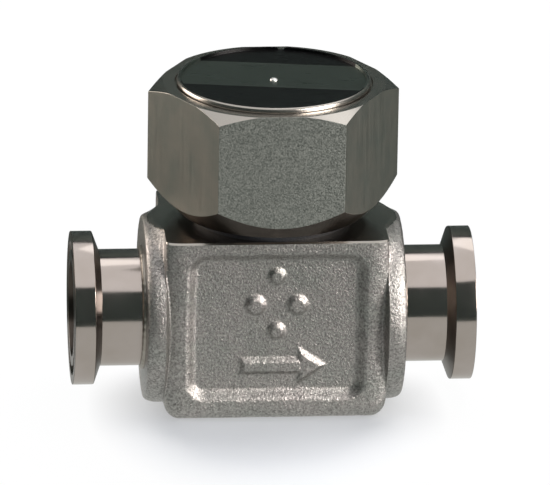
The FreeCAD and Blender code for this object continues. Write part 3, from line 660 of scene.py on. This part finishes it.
def casting_rows():
    """Places along X for the rows of the skin, closer where the bosses meet the block."""
    edge = BOSS_REACH - BOSS_EDGE_RUN
    joint = BLOCK_HALF_LENGTH - JOINT_LEAD
    half = np.concatenate([
        np.arange(0, CLOSE_ROWS_FROM, ROW_STEP),
        np.arange(CLOSE_ROWS_FROM, joint, CLOSE_ROW_STEP),
        np.linspace(joint, edge - EDGE_GAP, JOINT_ROWS),
        edge + BOSS_EDGE_RUN * np.sin(np.linspace(0, np.pi / 2, EDGE_ROWS)),
    ])
    return np.concatenate([-half[:0:-1], half])


def block_section(along, sizes):
    """Outline across the block for each place along X, as flat runs joined by quarter-round foot edges."""
    reach = np.clip(np.abs(along), 0, BLOCK_HALF_LENGTH)
    share = np.clip((reach - BLOCK_HALF_LENGTH) / sizes.end_rounding + 1, 0, 1)
    half = (BLOCK_HALF_WIDTH - sizes.side_rounding * (1 - np.sqrt(1 - share ** 2)))[:, None]
    share = np.clip((reach - BLOCK_HALF_LENGTH) / sizes.foot_rounding + 1, 0, 1)
    foot = (sizes.foot_rounding * (1 - np.sqrt(1 - share ** 2)) - AXIS_LEVEL)[:, None]
    corner = sizes.foot_rounding
    top = TOP_LEVEL - AXIS_LEVEL
    rise = top - PLATE_EDGE
    fine, coarse = np.linspace(0, 1, FRONT_POINTS), np.linspace(0, 1, BACK_POINTS)
    turn = np.linspace(0, np.pi / 2, FOOT_EDGE_POINTS)[1:-1]
    under = 2 * np.linspace(0, 1, FOOT_POINTS)[1:-1] - 1
    over = 1 - 2 * np.linspace(0, 1, TOP_POINTS)
    front = (-half + 0 * fine, rise + (foot + corner - rise) * fine)
    front_arc = (-half + corner * (1 - np.cos(turn)), foot + corner * (1 - np.sin(turn)))
    base = ((half - corner) * under, foot + 0 * under)
    back_arc = (-front_arc[0][:, ::-1], front_arc[1][:, ::-1])
    back = (half + 0 * coarse, rise + (foot + corner - rise) * coarse[::-1])
    lid = ((half - PLATE_EDGE) * over, top + 0 * half * over)
    parts = (front, front_arc, base, back_arc, back, lid)
    across = np.concatenate([part[0] for part in parts], axis=1)
    up = np.concatenate([part[1] for part in parts], axis=1)
    sides = np.concatenate([np.full(part[0].shape[1], index) for index, part in enumerate(parts)])
    return across, up, sides


def boss_radius(along):
    """Radius of the end bosses: a quarter ellipse at the outer edge, and a slope down into the block."""
    reach = np.abs(along)
    outer = np.clip((reach - BOSS_REACH) / BOSS_EDGE_RUN + 1, 0, 1)
    rounded = BOSS_RADIUS - BOSS_EDGE_DROP * (1 - np.sqrt(1 - outer ** 2))
    return rounded - BOSS_FILLET_SLOPE * np.clip(BOSS_INNER - reach, 0, None)


def shoulder_radius(along, angle):
    """Radius of the slopes from the bosses up to the machined top, dying away to both sides."""
    reach = np.clip(np.abs(along) - BLOCK_HALF_LENGTH, 0, None)
    slope = (SHOULDER_RADIUS - BOSS_RADIUS) / SHOULDER_RUN
    spread = np.abs(angle - np.pi / 2) / np.radians(SHOULDER_SPREAD)
    return SHOULDER_RADIUS - slope * reach - SHOULDER_FALL * spread ** 4


def relief_share(along, up):
    """From 0 to 1, where the raised flow arrow and the round pips stand."""
    neck = ARROW_TIP - ARROW_HEAD
    low, high = ARROW_LEVEL - ARROW_SHAFT_HALF, ARROW_LEVEL + ARROW_SHAFT_HALF
    inside = neck + ARROW_OVERLAP
    shaft = [(ARROW_TAIL, low), (inside, low), (inside, high), (ARROW_TAIL, high)]
    head = [(neck, ARROW_LEVEL - ARROW_HEAD_HALF), (ARROW_TIP, ARROW_LEVEL),
            (neck, ARROW_LEVEL + ARROW_HEAD_HALF)]
    outlines = [convex_distance(along, up, corners) for corners in (shaft, head)]
    outlines += [np.hypot(along - east, up - level) - radius for east, level, radius in PIPS]
    return smooth_step(0.5 - np.min(outlines, axis=0) / RELIEF_WALL)


def panel_depth(along, up, sizes, raised):
    """How far a face is sunk: a rounded rectangle with soft, slightly wavy walls, less what is raised."""
    middle, half = (PANEL_LOW + PANEL_HIGH) / 2, (PANEL_HIGH - PANEL_LOW) / 2
    places = np.stack([along, 0 * up, up], axis=-1)
    wave = PANEL_WAVE * lattice_noise(places, PANEL_WAVE_WIDTH, seed=4)
    edge = rounded_box_distance(along, up - middle, PANEL_HALF_LENGTH, half, PANEL_CORNER) + wave
    sunk = sizes.panel_depth * smooth_step(0.5 - edge / PANEL_WALL)
    return sunk - (sizes.relief * relief_share(along, up) if raised else 0)


def outer_skin(along, sizes):
    """The block, bosses and shoulders as one radius about the flow axis, cut level at the machined top."""
    across, up, sides = block_section(along, sizes)
    angle = np.arctan2(up, across)
    reach = np.abs(along)[:, None]
    block = np.hypot(across, up) - BLOCK_DROP * np.clip(reach - BLOCK_HALF_LENGTH, 0, None)
    radius = smooth_max(block, boss_radius(reach), BOSS_BLEND)
    radius = smooth_max(radius, shoulder_radius(reach, np.mod(angle, FULL)), SHOULDER_BLEND)
    lid = (TOP_LEVEL - AXIS_LEVEL) / np.maximum(np.sin(angle), LOW_SINE)
    # The top's edge is sharp along the block and soft round the shoulders at its ends.
    ends = smooth_step((reach - BLOCK_HALF_LENGTH + PLATE_END_RUN / 2) / PLATE_END_RUN)
    soft = PLATE_END_BLEND * ends + 1e-6
    radius = np.where(np.sin(angle) > LOW_SINE, -smooth_max(-radius, -lid, soft), radius)
    points = np.stack([along[:, None] + 0 * angle, radius * np.cos(angle),
                       AXIS_LEVEL + radius * np.sin(angle)], axis=-1)
    return points, angle, sides


def grain_skin(points, sides, sizes):
    """Sink the panels, then lift the cast skin by two sizes of lumps. The machined top stays flat."""
    inside = smooth_step(BLOCK_HALF_LENGTH - PANEL_END_GAP - np.abs(points[..., 0]))
    for side, inwards, raised in ((FRONT_SIDE, 1, True), (BACK_SIDE, -1, False)):
        face = sides == side
        sunk = panel_depth(points[:, face, 0], points[:, face, 2], sizes, raised)
        points[:, face, 1] += inwards * sunk * inside[:, face]
    along = np.gradient(points, axis=0)
    around = np.roll(points, -1, axis=1) - np.roll(points, 1, axis=1)
    outwards = np.cross(around, along)
    outwards /= np.maximum(np.linalg.norm(outwards, axis=-1, keepdims=True), 1e-9)
    radial = points * (0, 1, 1) - (0, 0, AXIS_LEVEL)
    facing = np.sign(np.sum(outwards * radial, axis=-1, keepdims=True).sum(axis=(0, 1)))
    lumps = lattice_noise(points, LUMP_WIDTH, seed=1)
    lumps += SMALL_LUMP_SHARE * lattice_noise(points, SMALL_LUMP_WIDTH, seed=2)
    below = smooth_step((TOP_LEVEL - PLATE_EDGE - GRAIN_GAP - points[..., 2]) / GRAIN_FADE)
    points = points + outwards * facing * (sizes.grain * lumps * below)[..., None]
    points[..., 2] = np.clip(points[..., 2], BODY_LOW[2], None)
    points[..., 0] = np.clip(points[..., 0], -BOSS_REACH, BOSS_REACH)
    return points


def port_rows(angle, side):
    """The socket, cone and blind port of one end, from the boss face to a pole on the flow axis."""
    seat = BODY_HIGH[0] - SOCKET_DEPTH
    bore = in_mm(bpy.context.scene.trap_ferrule).bore_radius
    rows = np.array([(BOSS_REACH, SOCKET_RADIUS), (seat, SOCKET_RADIUS), (seat, bore),
                     (seat - PORT_CONE, PORT_RADIUS), (PORT_END, PORT_RADIUS), (PORT_END, 0)])
    radius = rows[:, 1:]
    return np.stack([side * rows[:, :1] + 0 * angle, radius * np.cos(angle),
                     AXIS_LEVEL + radius * np.sin(angle)], axis=-1)


def casting_points(sizes):
    """The whole skin, closed at both ends by the ports."""
    points, angle, sides = outer_skin(casting_rows(), sizes)
    points = grain_skin(points, sides, sizes)
    return np.concatenate([port_rows(angle[0], -1)[::-1], points, port_rows(angle[-1], 1)])


def neck_points():
    """The neck: a tube with a right-hand thread, whose groove depth is a ramp of level against angle."""
    angle = np.linspace(0, FULL, NECK_COLUMNS, endpoint=False)
    top, sunk, root = BODY_HIGH[2], TOP_LEVEL - NECK_SUNK, NECK_RADIUS - THREAD_DEPTH
    level = np.arange(top - NECK_LEAD, TOP_LEVEL + THREAD_END, -THREAD_STEP)[:, None]
    phase = np.mod(level / THREAD_PITCH - angle / FULL, 1)
    depth = np.clip(THREAD_PEAK - THREAD_FLANK * np.abs(phase - 0.5), 0, 1)
    radius = NECK_RADIUS - THREAD_DEPTH * depth
    threaded = np.stack([radius * np.cos(angle), radius * np.sin(angle), level + 0 * angle], axis=-1)
    above = [(sunk, NECK_BORE), (top - NECK_BREAK, NECK_BORE), (top, NECK_BORE + NECK_BREAK),
             (top, root), (top - UNDERCUT_HIGH, root)]
    below = [(TOP_LEVEL + UNDERCUT_LOW, root), (sunk, root), (sunk, NECK_BORE)]
    above, below = (turned_about_z(np.array(rows), NECK_COLUMNS) for rows in (above, below))
    return np.concatenate([above, threaded, below])


def paint_faces(mesh, finish_number):
    """Give each face one of the mesh's materials, by its centre in millimetres and its direction."""
    values = {}
    for name in ("center", "normal"):
        values[name] = np.empty(len(mesh.polygons) * 3)
        mesh.polygons.foreach_get(name, values[name])
    chosen = finish_number(values["center"].reshape(-1, 3) / MM, values["normal"].reshape(-1, 3))
    mesh.polygons.foreach_set("material_index", chosen.astype(int))


def casting_finish(centres, directions):
    """1, machined, on the flat top and its edge and inside the ports; 0, as cast, elsewhere."""
    radius = np.hypot(centres[:, 1], centres[:, 2] - AXIS_LEVEL)
    ends = np.abs(centres[:, 0]) > BLOCK_HALF_LENGTH - PLATE_END_RUN
    below = np.where(ends, PLATE_END_EDGE, PLATE_EDGE - FACE_MARGIN)
    return (centres[:, 2] > TOP_LEVEL - below) | (radius < SOCKET_RADIUS + 2 * FACE_MARGIN)


def cap_finish(centres, directions):
    """0, blasted, on the front flat; 1, drawn, on the others; 2, faced, at the crown; 3, painted shade,
    below.
    """
    inner = np.hypot(centres[:, 0], centres[:, 1]) < RECESS_RADIUS + CAP_MARGIN
    crown = (directions[:, 2] > SLOPED) | (inner & (centres[:, 2] > PLATE_LOW[2] - CAP_MARGIN))
    # Faces turned down, and those inside, take the darker steel of painted shade.
    painted_shade = (directions[:, 2] < -SLOPED) | inner
    return np.select([crown, painted_shade, directions[:, 1] < -FORWARD], [2, 3, 0], 1)


class TRAP_OT_casting(bpy.types.Operator):
    """Build the cast body's skin and its screwed neck"""

    bl_idname = "trap.casting"
    bl_label = "Cast Body"

    def execute(self, context):
        points = casting_points(in_mm(context.scene.trap_casting))
        skin = make_piece("casting_skin", points, "trap", material("cast"), ["trap_body"])
        skin.data.materials.append(material("faced"))
        paint_faces(skin.data, casting_finish)
        make_piece("screwed_neck", neck_points(), "trap", material("faced"))
        return {"FINISHED"}


# Hexagon cap

CAP_FOOT_RADIUS = 15.25
CROWN_RADIUS = 17.95
CROWN_SLOPE = 0.6
THREAD_BORE = 11.0
HOLDER_BORE = 10.1
CROWN_BORE = 9.3
THREAD_TOP = 39.2
HOLDER_TOP = 42.0
CROWN_CEILING = 48.3
RECESS_RADIUS = 15.95
RECESS_BREAK = 0.08
THREAD_BREAK = 0.4
CAP_COLUMNS = 144
CAP_MARGIN = 0.1
# A face belongs to the front flat, or to a slope, where its direction has more than this share of -Y or Z.
FORWARD = 0.9
SLOPED = 0.2
NOTCH_ANGLE = 81.0
NOTCH_DEPTH = 0.8
NOTCH_SPREAD = 0.032
ENAMEL_MARGIN = 0.5
PLATE_FOOT_ROUNDING = 0.1
RIM_OUTER_ROUNDING = 0.6
RIM_INNER_ROUNDING = 0.06
FLOOR_ROUNDING = 0.05
PIN_SHANK_RADIUS = 0.35
TURNED_COLUMNS = 240
PIN_COLUMNS = 32
# Angles past which an edge is sharp: on the hexagon, and on small round pieces.
HEXAGON_SHARP = 20
SMALL_SHARP = 60


def cap_points():
    """Rows from the bore's ceiling, round the foot and the flats, to the nameplate's recess.

    Each row is a radius and a level for every angle. The flats lie at their distance over the cosine
    of the angle from each flat's middle, so the lower cone meets them in arcs, and the upper one only
    cuts the corners, from where the flats pass its radius."""
    even = np.linspace(0, FULL, CAP_COLUMNS, endpoint=False)
    middles = np.arange(6) * np.pi / 3 + np.pi / 6
    start = np.arccos(CAP_HIGH[1] / CROWN_RADIUS)
    angle = np.unique(np.round(np.concatenate([even, middles - start, middles + start]), 9))
    side = CAP_HIGH[1] / np.cos(np.mod(angle, np.pi / 3) - np.pi / 6)
    foot, top, recess = CAP_LOW[2], CAP_HIGH[2], PLATE_LOW[2]
    rows = [
        (0, CROWN_CEILING), (CROWN_BORE, CROWN_CEILING), (CROWN_BORE, HOLDER_TOP),
        (HOLDER_BORE, HOLDER_TOP), (HOLDER_BORE, THREAD_TOP), (THREAD_BORE, THREAD_TOP),
        (THREAD_BORE, foot + THREAD_BREAK), (THREAD_BORE + THREAD_BREAK, foot), (CAP_FOOT_RADIUS, foot),
        (side, foot + side - CAP_FOOT_RADIUS),
        (side, top - np.maximum(side - CROWN_RADIUS, 0) * CROWN_SLOPE),
        (np.minimum(side, CROWN_RADIUS), top),
        (RECESS_RADIUS + RECESS_BREAK, top), (RECESS_RADIUS, top - RECESS_BREAK),
        (RECESS_RADIUS, recess), (0, recess),
    ]
    radius = np.array([row[0] + 0 * angle for row in rows])
    level = np.array([row[1] + 0 * angle for row in rows])
    return np.stack([radius * np.cos(angle), radius * np.sin(angle), level], axis=-1)


def plate_points(sizes):
    """The nameplate: a thin floor inside a rolled rim, with one notch in the rim at the back."""
    radius, low, high = PLATE_HIGH[0], PLATE_LOW[2], PLATE_HIGH[2]
    floor, inner = low + sizes.floor, PLATE_HIGH[0] - sizes.rim
    profile = rounded_profile([
        (low, 0, 0), (low, radius, PLATE_FOOT_ROUNDING), (high, radius, RIM_OUTER_ROUNDING),
        (high, inner, RIM_INNER_ROUNDING), (floor, inner - FLOOR_ROUNDING, FLOOR_ROUNDING), (floor, 0, 0)],
        steps=7)
    points = turned_about_z(profile, TURNED_COLUMNS)
    angle = np.arctan2(points[..., 1], points[..., 0])
    notch = NOTCH_DEPTH * np.exp(-((angle - np.radians(NOTCH_ANGLE)) / NOTCH_SPREAD) ** 2)
    points[..., 2] = np.clip(points[..., 2], None, np.maximum(high - notch, floor))
    return points


def pin_points(sizes):
    """The drive pin: a low domed head on a short shank."""
    head, low, high = PIN_HIGH[0], PIN_LOW[2], PIN_HIGH[2]
    floor = PLATE_LOW[2] + sizes.floor
    dome = np.linspace(0, np.pi / 2, 6)
    profile = [(low, 0.0), (low, PIN_SHANK_RADIUS), (floor, PIN_SHANK_RADIUS), (floor, head)]
    profile += [(floor + (high - floor) * rise, head * spread)
                for rise, spread in zip(np.sin(dome)[1:], np.cos(dome)[1:])]
    return turned_about_z(np.array(profile), PIN_COLUMNS)


class TRAP_OT_cap(bpy.types.Operator):
    """Build the hexagon cap, its nameplate and the drive pin"""

    bl_idname = "trap.cap"
    bl_label = "Hexagon Cap"

    def execute(self, context):
        settings = context.scene.trap_cap
        sizes = in_mm(settings)
        cap = make_piece("hexagon_cap", cap_points(), "cap", material("blasted"),
                         ["hex_cap"], HEXAGON_SHARP)
        # The last finish is painted shade, darker turned steel for the foot and the inside.
        for finish in ("drawn", "faced", "painted_shade"):
            cap.data.materials.append(material(finish))
        paint_faces(cap.data, cap_finish)
        bevel = cap.modifiers.new("edge_break", "BEVEL")
        bevel.width = settings.edge
        bevel.segments = 2
        bevel.limit_method = "ANGLE"
        bevel.angle_limit = np.radians(HEXAGON_SHARP)
        bevel.harden_normals = True
        plate = make_piece("nameplate_dish", plate_points(sizes), "cap", nameplate_enamel(settings),
                           ["nameplate"])
        plate.data.materials.append(material("faced"))
        rim = PLATE_HIGH[0] - ENAMEL_MARGIN
        paint_faces(plate.data, lambda centres, _: np.hypot(centres[:, 0], centres[:, 1]) > rim)
        make_piece("drive_pin", pin_points(sizes), "cap", material("pin"),
                   ["nameplate_pin"], SMALL_SHARP)
        return {"FINISHED"}


# Clamp ferrules

FLANGE_TAPER = 1.09
TUBE_FILLET = 0.06
SEAL_RADIUS = 10.2
SEAL_SECTION = 0.75
SEAL_MARGIN = 1
SEAL_POINTS = 13
BEAD_DROPS = 24
BEAD_RIPPLE = 0.1
BEAD_COLUMNS = 288
# Painted shade lies within this share of the flange's radius, and on what slopes by more than this share.
SHADE_REACH = 0.7
SHADE_SLOPE = 0.3


def ferrule_profile(sizes):
    """A ferrule's turned outline, from its inner end out to the face and back down the bore."""
    inner, face, flange = FERRULE_LOW[0], FERRULE_HIGH[0], FERRULE_HIGH[1]
    tube, bore, edge = sizes.tube_radius, sizes.bore_radius, sizes.edge
    back = face - sizes.rim
    turn = np.linspace(0, np.pi, SEAL_POINTS)
    depth, across = SEAL_SECTION * np.sin(turn), SEAL_SECTION * np.cos(turn)
    groove = np.stack([face - depth, SEAL_RADIUS + across], axis=1)
    outside = rounded_profile([
        (inner, bore, 0), (inner, tube, 0), (back - FLANGE_TAPER, tube, TUBE_FILLET),
        (back, flange, edge), (face, flange, edge / 2), (face, SEAL_RADIUS, 0)])
    inside = rounded_profile([(face, SEAL_RADIUS, 0), (face, bore, edge / 2), (inner, bore, 0)])
    return np.concatenate([outside[:-1], groove, inside[1:]])


def ferrule_finish(centres, directions):
    """1, painted shade, on the end face, on the back taper and in the bore; 0, turned and polished,
    elsewhere.
    """
    radius = np.hypot(centres[:, 1], centres[:, 2] - AXIS_LEVEL)
    sloped = np.abs(directions[:, 0]) > SHADE_SLOPE
    groove = (np.abs(centres[:, 0]) > FERRULE_HIGH[0] - SEAL_SECTION) & (radius < SEAL_RADIUS + SEAL_MARGIN)
    return sloped | groove | (radius < FERRULE_HIGH[1] * SHADE_REACH)


def bead_points(sizes):
    """The weld bead: a quarter-round ring, swelling once for each drop of metal."""
    angle = np.linspace(0, FULL, BEAD_COLUMNS, endpoint=False)
    leg = sizes.bead * (1 - BEAD_RIPPLE + BEAD_RIPPLE * np.abs(np.sin(angle * BEAD_DROPS)))
    turn = np.linspace(0, np.pi / 2, 7)[:, None]
    flat = 0 * leg[None]
    along = BOSS_REACH + np.concatenate([flat, leg * np.sin(turn), flat])
    radius = SOCKET_RADIUS + np.concatenate([flat, leg * np.cos(turn), flat])
    return np.stack([along, radius * np.cos(angle), AXIS_LEVEL + radius * np.sin(angle)], axis=-1)


class TRAP_OT_ferrules(bpy.types.Operator):
    """Build the two clamp ferrules and their weld beads"""

    bl_idname = "trap.ferrules"
    bl_label = "Clamp Ferrules"

    def execute(self, context):
        sizes = in_mm(context.scene.trap_ferrule)
        shape = turned_about_x(ferrule_profile(sizes), TURNED_COLUMNS)
        bead = bead_points(sizes)
        for end, side in (("inlet", -1), ("outlet", 1)):
            mirror = np.array([side, 1, 1])
            ferrule = make_piece(f"{end}_clamp_ferrule", shape * mirror, "trap", material("turned"),
                                 [f"{end}_ferrule"])
            # Painted shade, darker turned steel, on the end face, the back taper and the bore.
            ferrule.data.materials.append(material("painted_shade"))
            paint_faces(ferrule.data, ferrule_finish)
            make_piece(f"{end}_bead", bead * mirror, "trap", material("weld"),
                       [f"{end}_weld_bead"], SMALL_SHARP)
        return {"FINISHED"}


# Working parts inside

INNER_FINISHES = {
    "cap_gasket": "graphite",
    "seat_inner_gasket": "graphite",
    "seat_outer_gasket": "graphite",
    "valve_seat": "lapped",
    "valve_disc": "lapped",
    "disc_guide_ring": "lapped",
    "inner_cap": "lapped",
    "snap_ring": "lapped",
    "strainer_collar": "lapped",
    "air_vent_ring": "bimetal",
    "strainer_screen": "sheet",
    "strainer_end_disc": "sheet",
}


class TRAP_OT_cartridge(bpy.types.Operator):
    """Finish the solids of the valve cartridge, the strainer and the gaskets"""

    bl_idname = "trap.cartridge"
    bl_label = "Cartridge And Strainer"

    def execute(self, context):
        for node, finish in INNER_FINISHES.items():
            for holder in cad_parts[node].material_slots:
                holder.material = material(finish)
        return {"FINISHED"}


# Studio

CAMERA_DISTANCE = 1303.0
CAMERA_LENS = 523.6
CAMERA_ASIDE = 0.603
CAMERA_ABOVE = 10.16
CAMERA_SENSOR = 36
# Nearest and farthest that the camera sees, in metres.
CAMERA_NEAR = 0.01
CAMERA_FAR = 50
TABLE_RADIUS = 6000
TABLE_LEVEL = -0.02
TABLE_COLUMNS = 48
# The oval of kept shadow: its half lengths in millimetres, and its shift as a share of them.
SHADOW_OVAL = (29.4, 44)
SHADOW_SHIFT = (0.034, 0.182)
SHADOW_FULL = 0.45
# The card under the trap: its half lengths, level and how square its corners are.
UNDER_CARD = (58, 34)
UNDER_LEVEL = 0.2
UNDER_SQUARENESS = 6
# The cards in front of the trap: west, east and north edges, then the south edge and level of both.
FRONT_CARDS = {"left_card": (-52, -4, -30), "right_card": (16, 150, 12)}
FRONT_SOUTH = -120
FRONT_LEVEL = 0.3
WALL_RADIUS = 560
WALL_HEIGHT = 645
WALL_DIP = 45
WALL_COLUMNS = 64
# Lamps: place, side and colour. Each one's power is the setting of its name.
LAMPS = {
    "softbox": ((120, 260, 600), 520, "#fff9f4"),
    "side_light": ((318, -252, 200), 270, "#fff8f4"),
    "fill_light": ((-400, 190, 140), 300, "#fff2e8"),
    "top_light": ((340, 350, 560), 600, "#ffffff"),
}


def camera_axes(settings):
    """Right, up and forward directions at the photograph's angle, before the roll."""
    turn, rise = settings.turn, settings.elevation
    right = np.array([np.cos(turn), -np.sin(turn), 0])
    level = np.array([np.sin(turn), np.cos(turn), 0])
    up = level * np.sin(rise) + np.array([0, 0, np.cos(rise)])
    forward = level * np.cos(rise) - np.array([0, 0, np.sin(rise)])
    return right, up, forward


def add_camera(settings):
    """A long lens at the photograph's angle."""
    right, up, forward = camera_axes(settings)
    aim = np.array([0, 0, AXIS_LEVEL]) + right * CAMERA_ASIDE + up * CAMERA_ABOVE
    place = aim - forward * CAMERA_DISTANCE
    roll = settings.roll
    axes = (right * np.cos(roll) + up * np.sin(roll), up * np.cos(roll) - right * np.sin(roll), -forward)
    camera = bpy.data.objects.new("camera", bpy.data.cameras.new("camera"))
    bpy.context.scene.collection.objects.link(camera)
    camera.matrix_world = Matrix.Translation(Vector(place * MM)) @ Matrix(axes).transposed().to_4x4()
    camera.data.sensor_width = CAMERA_SENSOR
    camera.data.lens = CAMERA_LENS
    camera.data.clip_start = CAMERA_NEAR
    camera.data.clip_end = CAMERA_FAR
    bpy.context.scene.camera = camera


def add_lamp(name, place, side, power, colour):
    """A square soft light that faces the trap; place and side in millimetres."""
    light = bpy.data.lights.new(name, "AREA")
    light.shape = "SQUARE"
    light.size = side * MM
    light.energy = power
    light.color = hex_colour(colour)[:3]
    lamp = bpy.data.objects.new(name, light)
    bpy.context.scene.collection.objects.link(lamp)
    aim = (Vector((0, 0, AXIS_LEVEL)) - Vector(place)).to_track_quat("-Z", "Y")
    lamp.matrix_world = Matrix.Translation(Vector(place) * MM) @ aim.to_matrix().to_4x4()
    return lamp


def add_sheet(name, rings, colour):
    """A stage sheet through rings of points, in millimetres, with a matt colour."""
    mesh = bpy.data.meshes.new(name)
    mesh.from_pydata((rings.reshape(-1, 3) * MM).tolist(), [], grid_quads(*rings.shape[:2]).tolist())
    matt, tree, shader, _ = new_material(name, "#ffffff", 0.0, 1.0)
    shader.inputs["Base Color"].default_value = colour
    shader.inputs["Specular IOR Level"].default_value = 0.0
    mesh.materials.append(matt)
    sheet = bpy.data.objects.new(name, mesh)
    bpy.context.scene.collection.objects.link(sheet)
    return sheet, tree, shader


def seen_rays(tree):
    """1 for a camera's ray and for one that metal or glass sends on, else 0."""
    rays = add_node(tree, "ShaderNodeLightPath").outputs
    mirrored = add_node(tree, "ShaderNodeMath", {"operation": "MAXIMUM"},
                        {0: rays["Is Glossy Ray"], 1: rays["Is Transmission Ray"]})
    return add_node(tree, "ShaderNodeMath", {"operation": "MAXIMUM"},
                    {0: rays["Is Camera Ray"], 1: mirrored.outputs["Value"]}).outputs["Value"]


def add_table(settings):
    """A matt white table top, as wide as any camera sees, that keeps a part of the trap's shadow."""
    angle = np.linspace(0, FULL, TABLE_COLUMNS, endpoint=False)
    reach = np.array([[0], [TABLE_RADIUS]])
    level = 0 * reach * angle + TABLE_LEVEL
    rings = np.stack([reach * np.cos(angle), reach * np.sin(angle), level], axis=-1)
    _, tree, shader = add_sheet("table", rings, (*settings.table, 1.0))
    white = add_node(tree, "ShaderNodeEmission", {"Strength": 1.0})
    # The kept share of the shadow falls from the foot outwards, over an oval round the trap.
    place = add_node(tree, "ShaderNodeTexCoord").outputs["Object"]
    oval = add_node(tree, "ShaderNodeMapping",
                    {"Scale": (*(per_mm(half) for half in SHADOW_OVAL), 0), "Location": (*SHADOW_SHIFT, 0)},
                    {"Vector": place})
    near = add_node(tree, "ShaderNodeTexGradient", {"gradient_type": "SPHERICAL"},
                    {"Vector": oval.outputs["Vector"]})
    lit = add_node(tree, "ShaderNodeMapRange",
                   {"From Max": SHADOW_FULL, "To Min": 1 - settings.far_shade, "To Max": 1 - settings.shade},
                   {"Value": near.outputs["Fac"]})
    share = add_node(tree, "ShaderNodeMath", {"operation": "MULTIPLY"},
                     {0: seen_rays(tree), 1: lit.outputs["Result"]})
    mixed = add_node(tree, "ShaderNodeMixShader", None,
                     {0: share.outputs["Value"], 1: shader.outputs["BSDF"], 2: white.outputs["Emission"]})
    tree.links.new(mixed.outputs["Shader"], tree.nodes["Material Output"].inputs["Surface"])


def hide_from_all_but_metal(sheet):
    """Only mirror reflections see this sheet: no camera, no shadow and no light from it on matt things."""
    sheet.visible_camera = False
    sheet.visible_diffuse = False
    sheet.visible_shadow = False
    sheet.visible_transmission = False


def add_grey_card(name, rings):
    """A light grey card that only metal mirrors."""
    card, _, shader = add_sheet(name, rings, hex_colour("#000000"))
    shader.inputs["Emission Color"].default_value = hex_colour("#ced0cd")
    shader.inputs["Emission Strength"].default_value = 1.0
    hide_from_all_but_metal(card)


def add_cards():
    """Studio cards round the trap for metal to mirror: grey ones under it and in front, a dark one round it.

    The card under the trap is a superellipse. The dark one starts at its edge, lies flat to its own wall,
    and rises to an opening overhead."""
    angle = np.linspace(0, FULL, WALL_COLUMNS, endpoint=False)
    cosine, sine = np.cos(angle), np.sin(angle)
    power = UNDER_SQUARENESS
    corner = (np.abs(cosine) ** power + np.abs(sine) ** power) ** (-1 / power)
    long, wide = UNDER_CARD
    edge = np.stack([long * corner * cosine, wide * corner * sine, 0 * angle + UNDER_LEVEL], axis=-1)
    add_grey_card("grey_card", np.stack([edge * (0, 0, 1), edge]))
    for name, (west, east, north) in FRONT_CARDS.items():
        outline = np.array([(west, FRONT_SOUTH, FRONT_LEVEL), (east, FRONT_SOUTH, FRONT_LEVEL),
                            (east, north, FRONT_LEVEL), (west, north, FRONT_LEVEL)])
        add_grey_card(name, np.stack([0 * outline + outline.mean(axis=0), outline]))
    wall = np.stack([WALL_RADIUS * cosine, WALL_RADIUS * sine, 0 * angle + UNDER_LEVEL], axis=-1)
    rim = wall + (0, 0, 1) * (WALL_HEIGHT - WALL_DIP * sine)[:, None]
    hide_from_all_but_metal(add_sheet("dark_card", np.stack([edge, wall, rim]), hex_colour("#454d4a"))[0])


def add_world(settings):
    """Even white light, at full white where a camera or a reflection sees it."""
    world = bpy.data.worlds.new("studio")
    bpy.context.scene.world = world
    world.use_nodes = True
    tree = world.node_tree
    seen = seen_rays(tree)
    strength = add_node(tree, "ShaderNodeMapRange", {"To Min": settings.world, "To Max": 1.0},
                        {"Value": seen})
    tint = add_node(tree, "ShaderNodeMix", {"data_type": "RGBA", 6: hex_colour("#e9f2ff"), 7: (1, 1, 1, 1)},
                    {0: seen})
    back = tree.nodes["Background"]
    tree.links.new(tint.outputs[2], back.inputs["Color"])
    tree.links.new(strength.outputs["Result"], back.inputs["Strength"])


class TRAP_OT_stage(bpy.types.Operator):
    """Set the camera, the world's light, the table, the cards and the lamps"""

    bl_idname = "trap.stage"
    bl_label = "Studio"

    def execute(self, context):
        settings = context.scene.trap_stage
        add_camera(settings)
        add_world(settings)
        add_table(settings)
        add_cards()
        for name, (place, side, colour) in LAMPS.items():
            lamp = add_lamp(name, place, side, getattr(settings, name), colour)
            # Of the lamps, matt surfaces take light from the softbox alone, and metal mirrors the others.
            lamp.visible_glossy = name != "softbox"
            lamp.visible_diffuse = name == "softbox"
        context.scene.view_settings.view_transform = "Standard"
        return {"FINISHED"}


class TRAP_PT_panel(bpy.types.Panel):
    """The buttons that build the trap's looks"""

    bl_idname = "TRAP_PT_panel"
    bl_label = "Steam Trap"
    bl_space_type = "VIEW_3D"
    bl_region_type = "UI"
    bl_category = "Steam Trap"

    def draw(self, context):
        for operator in OPERATORS:
            self.layout.operator(operator.bl_idname)


OPERATORS = (TRAP_OT_casting, TRAP_OT_cap, TRAP_OT_ferrules, TRAP_OT_cartridge, TRAP_OT_stage)
SETTINGS = {
    "trap_casting": CastingSettings,
    "trap_cap": CapSettings,
    "trap_ferrule": FerruleSettings,
    "trap_stage": StageSettings,
}


def register():
    for group in SETTINGS.values():
        bpy.utils.register_class(group)
    for operator in OPERATORS:
        bpy.utils.register_class(operator)
    bpy.utils.register_class(TRAP_PT_panel)
    for name, group in SETTINGS.items():
        setattr(bpy.types.Scene, name, PointerProperty(type=group))


def unregister():
    for name in SETTINGS:
        delattr(bpy.types.Scene, name)
    bpy.utils.unregister_class(TRAP_PT_panel)
    for operator in reversed(OPERATORS):
        bpy.utils.unregister_class(operator)
    for group in SETTINGS.values():
        bpy.utils.unregister_class(group)


def main():
    register()
    bpy.ops.trap.stage()
    bpy.ops.trap.casting()
    bpy.ops.trap.cap()
    bpy.ops.trap.ferrules()
    bpy.ops.trap.cartridge()


if __name__ == "__main__":
    main()
